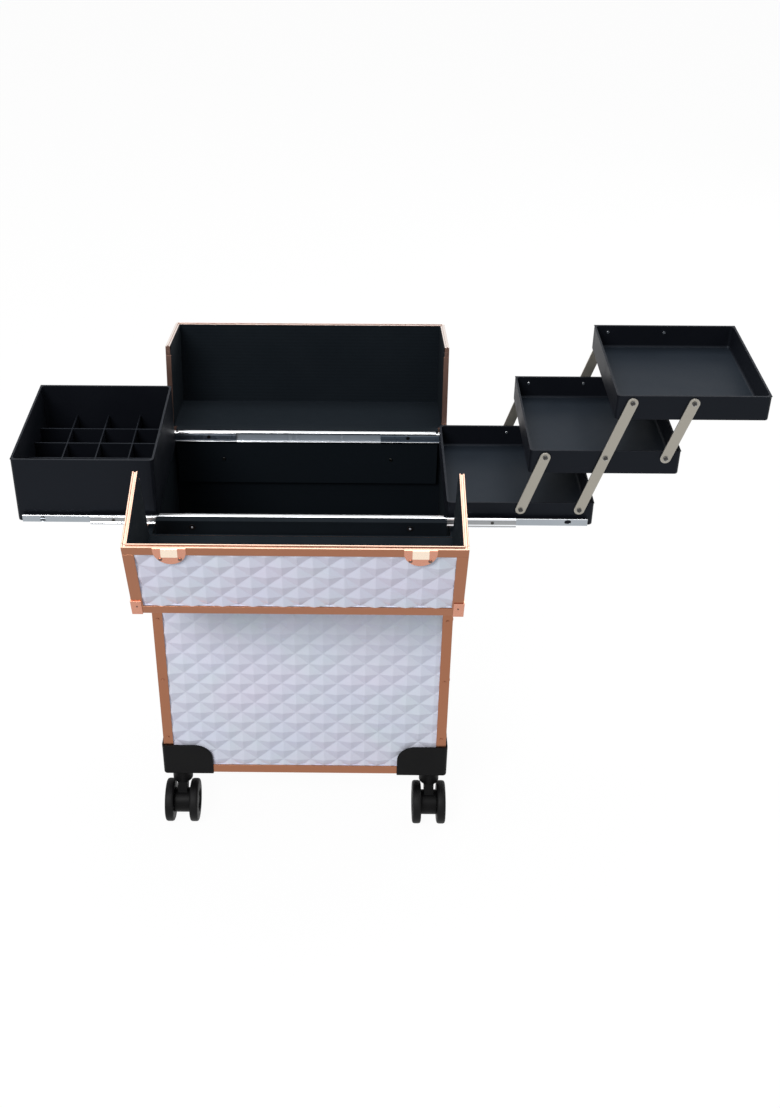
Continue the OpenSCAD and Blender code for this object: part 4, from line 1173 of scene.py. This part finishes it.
class CASE_OT_slides(bpy.types.Operator):
    """Rolls the slide members of both tray sets and adds their screws"""

    bl_idname = "makeup_case.slides"
    bl_label = "Slides"

    def execute(self, context):
        sizes = context.scene.case_sizes
        # Middle members: bright lips, painted shade on the web, and a darker zinc inside the sheet
        tracks = ["Bright zinc", "Track zinc", "Greasy zinc", "Greasy zinc"]
        self.members(sizes, "slide_channels", self.channel, ["Bright zinc", "Oily zinc"])
        for node in STOPS:
            self.members(sizes, node, self.middle, tracks)
        for node in SLOTS:
            self.members(sizes, node, self.runner, ["Bright zinc", "Dull zinc"])
        for node in STOPS:
            self.stops(sizes, node)
        for node in SLOTS:
            self.spacers(sizes, node)
        edge = sizes.fitting_edge * 2
        dress("slide_screws", ["Moulded black"], edge, segments=3)
        self.screws()
        return {"FINISHED"}

    def channel(self, sizes, far, in_y, low, high):
        """Section of a fixed channel: a deeper upper lip and a shorter lower one, inwards."""
        upper, lower = far + in_y * sizes.upper_lip, far + in_y * sizes.lower_lip
        return [(upper, high), (far, high), (far, low), (lower, low)]

    def middle(self, sizes, far, in_y, low, high):
        """Section of a middle member: its web is sunk between two ball tracks."""
        mid = (low + high) / 2
        lip, sunk = far + in_y * sizes.middle_lip, far + in_y * sizes.track_sink
        inner, outer = sizes.track_gap, sizes.track_gap + sizes.track_slope
        return [
            (lip, high), (far, high), (far, mid + outer), (sunk, mid + inner),
            (sunk, mid - inner), (far, mid - outer), (far, low), (lip, low),
        ]

    def runner(self, sizes, far, in_y, low, high):
        """Section of a tray's own member: a flat web outside, with short lips towards the tray."""
        web = far + in_y * sizes.runner_back
        lip = web + in_y * sizes.runner_lip
        return [(lip, high), (web, high), (web, low), (lip, low)]

    def members(self, sizes, node, section, finishes):
        """The two members of a node, with their slots."""
        share, slots = SLOTS.get(node, (0.0, ()))
        bm = bmesh.new()
        for side, lo, hi, far in both_sides(node):
            path = section(sizes, far, -side, lo.z, hi.z)
            centre = lo.x + share * (hi.x - lo.x)
            join(bm, rolled_channel(sizes, lo.x, hi.x, path, centre, slots))
        lay_grain(bm)
        piece(
            bm, node + "_rolled", finishes, BODY_OF[node], [node], SLIDE_SHEET
        )

    def stops(self, sizes, node):
        """Dark rivets in the middle members: hollow ones outside, flat ones near the inner end."""
        share, inner_end = STOPS[node]
        outside, inside = [], []
        for side, lo, hi, far in both_sides(node):
            sunk = far - side * sizes.track_sink
            mid = (lo.z + hi.z) / 2
            outside.append(facing((lo.x + share * (hi.x - lo.x), sunk, mid), Y * side))
            x = (hi.x if inner_end > 0 else lo.x) - inner_end * sizes.stop_back
            inside.append(facing((x, sunk - side * SLIDE_SHEET, mid), Y * -side))
        heads(node + "_stops", STOP_RIVET, "Rivet steel", BODY_OF[node], outside)
        heads(node + "_rivets", INNER_RIVET, "Moulded black", BODY_OF[node], inside)

    def spacers(self, sizes, node):
        """Black strips that hold a tray's slide members off its walls."""
        gap = Vector((SLIDE_SHEET, 0, SLIDE_SHEET))
        bm = bmesh.new()
        for side, lo, hi, far in both_sides(node):
            near = min(lo.y, hi.y, key=abs)
            front = far - side * (sizes.runner_back + SLIDE_SHEET)
            strip = block(Vector((lo.x, near, lo.z)) + gap, Vector((hi.x, front, hi.z)) - gap)
            soften(strip, sizes.bar_edge)
            join(bm, strip)
        piece(bm, node + "_spacers", ["Tray black"], BODY_OF[node])

    def screws(self):
        """Flat screw heads in the channels, light ones on the boards, and screw tips outside."""
        lo, hi = span(node_points("slide_channels", side=1))
        end = span(node_points("slide_screws", side=1))[1]
        middle = (lo.z + hi.z) / 2
        channel, tips = [], []
        for x in (CHANNEL_SCREW[0] - end.x, end.x - CHANNEL_SCREW[0]):
            for side in (-1, 1):
                channel.append(facing((x, side * (hi.y - SLIDE_SHEET), middle), Y * -side))
                tips.append(facing((x, side * end.y, middle), Y * side))
        board = [facing((x, hi.y, BOARD_SCREW_Z), -Y) for x in (-BOARD_SCREW_X, BOARD_SCREW_X)]
        for name, head, coat, places in (
            ("channel_screw_heads", CHANNEL_SCREW, "Moulded black", channel),
            ("board_screw_heads", BOARD_SCREW, "Rivet steel", board),
            # The screw tips take the painted shade zinc of the channels' webs
            ("slide_screw_tips", SCREW_TIP, "Oily zinc", tips),
        ):
            heads(name, head, coat, "case", places)


def tray_shell(sizes, lo, hi):
    """An open tray: upright corners rounded inside and out, a fillet round the floor, soft rims."""
    size, middle = hi - lo, (lo + hi) / 2
    bm = bmesh.new()
    bmesh.ops.create_grid(bm, x_segments=1, y_segments=1, size=0.5)
    spot = Matrix.Translation((middle.x, middle.y, lo.z))
    move(bm, spot @ Matrix.Diagonal((size.x, size.y, 1, 1)))
    top = raised(bm, bm.faces[:], size.z)
    bmesh.ops.inset_region(bm, faces=[top], thickness=TRAY_WALL, use_even_offset=True)
    raised(bm, [top], TRAY_FLOOR - size.z)
    bmesh.ops.delete(bm, geom=[top], context="FACES_ONLY")
    bmesh.ops.recalc_face_normals(bm, faces=bm.faces)

    def inside(edge):
        mid = middle_of(edge)
        gap = TRAY_WALL / 2
        return lo.x + gap < mid.x < hi.x - gap and lo.y + gap < mid.y < hi.y - gap

    def upright(edge):
        return abs((edge.verts[0].co - edge.verts[1].co).normalized().z) > FACING

    inner = [e for e in bm.edges if upright(e) and inside(e)]
    round_edges(bm, inner, sizes.tray_inner, segments=5)
    outer = [e for e in sharp_edges(bm) if upright(e)]
    round_edges(bm, outer, sizes.tray_corner, segments=5)
    levels = (
        (lo.z + TRAY_FLOOR, sizes.tray_fillet, 4),
        (lo.z, sizes.tray_foot, 3),
        (hi.z, sizes.tray_rim, 2),
    )
    for level, width, segments in levels:
        edges = [
            e for e in sharp_edges(bm) if all(abs(v.co.z - level) < WELD for v in e.verts)
        ]
        round_edges(bm, edges, width, segments)
    return bm


class CASE_OT_trays(bpy.types.Operator):
    """Moulds the deep tray with its dividers and the three stacked trays"""

    bl_idname = "makeup_case.trays"
    bl_label = "Trays"

    def execute(self, context):
        sizes = context.scene.case_sizes
        for node in ("left_tray", "bottom_tray", "middle_tray", "top_tray"):
            lo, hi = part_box(node)
            bm = tray_shell(sizes, lo, hi)
            for face in bm.faces:
                # Faces turned up inside a tray take the painted sheen of its floor
                sunk = face.calc_center_median().z < hi.z - TRAY_FLOOR
                face.material_index = int(face.normal.z > FACING and sunk)
            piece(
                bm, node + "_moulded", ["Tray black", "Tray floor"],
                BODY_OF[node], [node],
            )
        dress("left_tray_dividers", ["Tray black"], sizes.bar_edge)
        return {"FINISHED"}


class CASE_OT_arms(bpy.types.Operator):
    """Dresses the folding arms and their hollow rivets"""

    bl_idname = "makeup_case.arms"
    bl_label = "Folding arms"

    def execute(self, context):
        sizes = context.scene.case_sizes

        def rivets(bm):
            for group in islands(bm):
                lo, hi = span([v.co for v in group])
                if hi.x - lo.x > ARM_WIDTH:
                    continue
                middle = (lo + hi) / 2
                for vert in group:
                    outside = abs(vert.co.y) > abs(middle.y)
                    share = sizes.rivet_share * (1.0 if outside else RIVET_INSIDE)
                    vert.co.x = middle.x + (vert.co.x - middle.x) * share
                    vert.co.z = middle.z + (vert.co.z - middle.z) * share
                faces = list({f for v in group for f in v.link_faces})
                for face in faces:
                    outside = abs(face.calc_center_median().y) > abs(middle.y)
                    face.material_index = 1 if outside else 2
                ends = [
                    f for f in faces if abs(f.normal.y) > FACING and len(f.verts) > ROUND_SIDES
                ]
                outer = max(ends, key=lambda f: abs(f.calc_center_median().y))
                bmesh.ops.inset_region(bm, faces=[outer], thickness=sizes.rivet_wall)
                bmesh.ops.translate(
                    bm, verts=list(outer.verts), vec=-sizes.rivet_dimple * outer.normal
                )

        for node in ("long_arms", "lower_arms", "upper_arms"):
            dress(
                node, ["Satin nickel", "Rivet steel", "Bright zinc"],
                sizes.arm_edge, shape=rivets,
            )
        return {"FINISHED"}


class CASE_OT_casters(bpy.types.Operator):
    """Turns the wheels and dresses the forks of the four casters"""

    bl_idname = "makeup_case.casters"
    bl_label = "Casters"

    def execute(self, context):
        sizes = context.scene.case_sizes
        for corner in ("front_left", "front_right", "back_left", "back_right"):
            fork = corner + "_fork"
            dress(fork, ["Moulded black"], sizes.fork_edge, segments=3)
            self.wheels(sizes, corner + "_wheels")
        return {"FINISHED"}

    def wheels(self, sizes, node):
        """Two wheels on one axle, each turned from its half section."""
        lo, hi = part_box(node)
        middle = (lo + hi) / 2
        rim, width = (hi.z - lo.z) / 2, (hi.x - lo.x) / 2
        points = [p - middle for p in node_points(node)]
        inner = min(abs(p.x) for p in points)
        bore = min(math.hypot(p.y, p.z) for p in points)
        section = [(inner, bore), (width - WHEEL_FACE[0][0], bore)]
        section += [(width - x, r) for x, r in WHEEL_FACE]
        section += [(width - x, rim - r) for x, r in WHEEL_TREAD]
        section += [(inner + x, rim - r) for x, r in WHEEL_BACK]
        bm = bmesh.new()
        for side in (-1, 1):
            ring = [
                bm.verts.new((middle.x + side * x, middle.y, middle.z + r)) for x, r in section
            ]
            loop = [bm.edges.new(pair) for pair in zip(ring, ring[1:] + ring[:1])]
            bmesh.ops.spin(
                bm, geom=ring + loop, cent=middle, axis=X, angle=math.tau,
                steps=sizes.wheel_steps, use_merge=True,
            )
        bmesh.ops.remove_doubles(bm, verts=bm.verts, dist=WELD)
        bmesh.ops.recalc_face_normals(bm, faces=bm.faces)
        for face in bm.faces:
            spot = face.calc_center_median() - middle
            face.material_index = int(math.hypot(spot.y, spot.z) < WHEEL_HUB)
        piece(
            bm, node + "_turned", ["Tyre black", "Moulded black"],
            BODY_OF[node], [node],
        )


class CASE_OT_handle(bpy.types.Operator):
    """Dresses the pull handle on the back"""

    bl_idname = "makeup_case.handle"
    bl_label = "Pull handle"

    def execute(self, context):
        edge = context.scene.case_sizes.handle_edge
        for node, coat, slot in (
            ("handle_tubes", "Handle lacquer", "handle_metal"),
            ("handle_grip", "Handle lacquer", "handle_metal"),
            ("handle_brackets", "Moulded black", "black_plastic"),
            ("handle_rods", "Bright zinc", "slide_zinc"),
            ("handle_button", "Bright zinc", "slide_zinc"),
        ):
            dress(node, [coat], edge, segments=3)
        return {"FINISHED"}


def soft_lamp(name, place, target, size, watts):
    """A large soft lamp aimed at a point, unseen by the camera."""
    data = bpy.data.lights.new(name, "AREA")
    data.shape = "RECTANGLE"
    data.size, data.size_y = size
    data.energy = watts
    lamp = bpy.data.objects.new(name, data)
    bpy.context.scene.collection.objects.link(lamp)
    lamp.location = place
    lamp.rotation_mode = "QUATERNION"
    lamp.rotation_quaternion = (Vector(target) - Vector(place)).to_track_quat("-Z", "Y")
    lamp.visible_camera = False


def seen_directly(tree):
    """1 for rays that show the background itself: from the camera, off gloss and through glass."""
    rays = add_node(tree, "ShaderNodeLightPath").outputs
    shown = calculate(tree, "MAXIMUM", rays["Is Camera Ray"], rays["Is Glossy Ray"])
    return calculate(tree, "MAXIMUM", shown, rays["Is Transmission Ray"])


def show(tree, factor, lit, white, output):
    """Mixes what lights the scene with the plain white that is seen directly."""
    both = add_node(
        tree, "ShaderNodeMixShader", {0: factor, 1: lit.outputs[0], 2: white.outputs[0]}
    )
    tree.links.new(both.outputs[0], tree.nodes[output].inputs["Surface"])


class CASE_OT_stage(bpy.types.Operator):
    """Sets up the camera, the pale floor and the soft lamps"""

    bl_idname = "makeup_case.stage"
    bl_label = "Stage"

    def execute(self, context):
        stage = context.scene.case_stage
        context.scene.view_settings.view_transform = "Standard"
        self.camera(context, stage)
        self.floor(stage)
        self.room(context, stage)
        for name, (place, target, size) in LAMPS.items():
            watts = getattr(stage, name + "_watts")
            soft_lamp(name.title() + " lamp", place, target, size, watts)
        return {"FINISHED"}

    def camera(self, context, stage):
        data = bpy.data.cameras.new("Camera")
        data.lens = stage.camera_lens
        data.shift_x, data.shift_y = stage.camera_shift
        camera = bpy.data.objects.new("Camera", data)
        context.scene.collection.objects.link(camera)
        turn = (
            Matrix.Rotation(stage.camera_yaw, 4, "Z")
            @ Matrix.Rotation(math.pi / 2 - stage.camera_pitch, 4, "X")
            @ Matrix.Rotation(stage.camera_roll, 4, "Z")
        )
        camera.matrix_world = Matrix.Translation(stage.camera_place) @ turn
        context.scene.camera = camera

    def floor(self, stage):
        bm = bmesh.new()
        bmesh.ops.create_grid(bm, x_segments=1, y_segments=1, size=stage.floor_size)
        mesh = bpy.data.meshes.new("Floor")
        bm.to_mesh(mesh)
        bm.free()
        floor = bpy.data.objects.new("Floor", mesh)
        bpy.context.scene.collection.objects.link(floor)
        material = bpy.data.materials.new("Pale floor")
        material.use_nodes = True
        tree = material.node_tree
        tree.nodes.remove(tree.nodes["Principled BSDF"])
        seen = seen_directly(tree)
        tint = mix_colour(tree, seen, stage.floor, WHITE)
        matt = add_node(tree, "ShaderNodeBsdfDiffuse", {"Color": tint})
        white = add_node(tree, "ShaderNodeEmission", {"Strength": 1.0})
        share = calculate(tree, "MULTIPLY", seen, stage.floor_white)
        show(tree, share, matt, white, "Material Output")
        mesh.materials.append(material)

    def room(self, context, stage):
        world = bpy.data.worlds.new("Room")
        world.use_nodes = True
        context.scene.world = world
        tree = world.node_tree
        even = tree.nodes["Background"]
        even.inputs["Color"].default_value = WHITE
        even.inputs["Strength"].default_value = stage.sky
        white = add_node(tree, "ShaderNodeBackground", {"Color": WHITE})
        show(tree, seen_directly(tree), even, white, "World Output")


class CASE_PT_panel(bpy.types.Panel):
    """Lists the steps that build the case"""

    bl_idname = "CASE_PT_panel"
    bl_label = "Rolling makeup case"
    bl_space_type = "VIEW_3D"
    bl_region_type = "UI"
    bl_category = "Makeup Case"

    def draw(self, context):
        for step in STEPS:
            self.layout.operator(step.bl_idname)
        for name in GROUPS:
            group = getattr(context.scene, name)
            box = self.layout.box()
            for key in group.__annotations__:
                box.prop(group, key)


STEPS = (
    CASE_OT_stage, CASE_OT_panels, CASE_OT_frame, CASE_OT_fittings, CASE_OT_linings,
    CASE_OT_guards, CASE_OT_slides, CASE_OT_trays, CASE_OT_arms, CASE_OT_casters,
    CASE_OT_handle,
)
GROUPS = {"case_sizes": CaseSizes, "case_colours": CaseColours, "case_stage": CaseStage}


def register():
    for group in GROUPS.values():
        bpy.utils.register_class(group)
    for name, group in GROUPS.items():
        setattr(bpy.types.Scene, name, PointerProperty(type=group))
    for step in (*STEPS, CASE_PT_panel):
        bpy.utils.register_class(step)


def unregister():
    for step in (CASE_PT_panel, *reversed(STEPS)):
        bpy.utils.unregister_class(step)
    for name, group in GROUPS.items():
        delattr(bpy.types.Scene, name)
        bpy.utils.unregister_class(group)


def main():
    register()
    for step in STEPS:
        family, name = step.bl_idname.split(".")
        getattr(getattr(bpy.ops, family), name)()


if __name__ == "__main__":
    main()
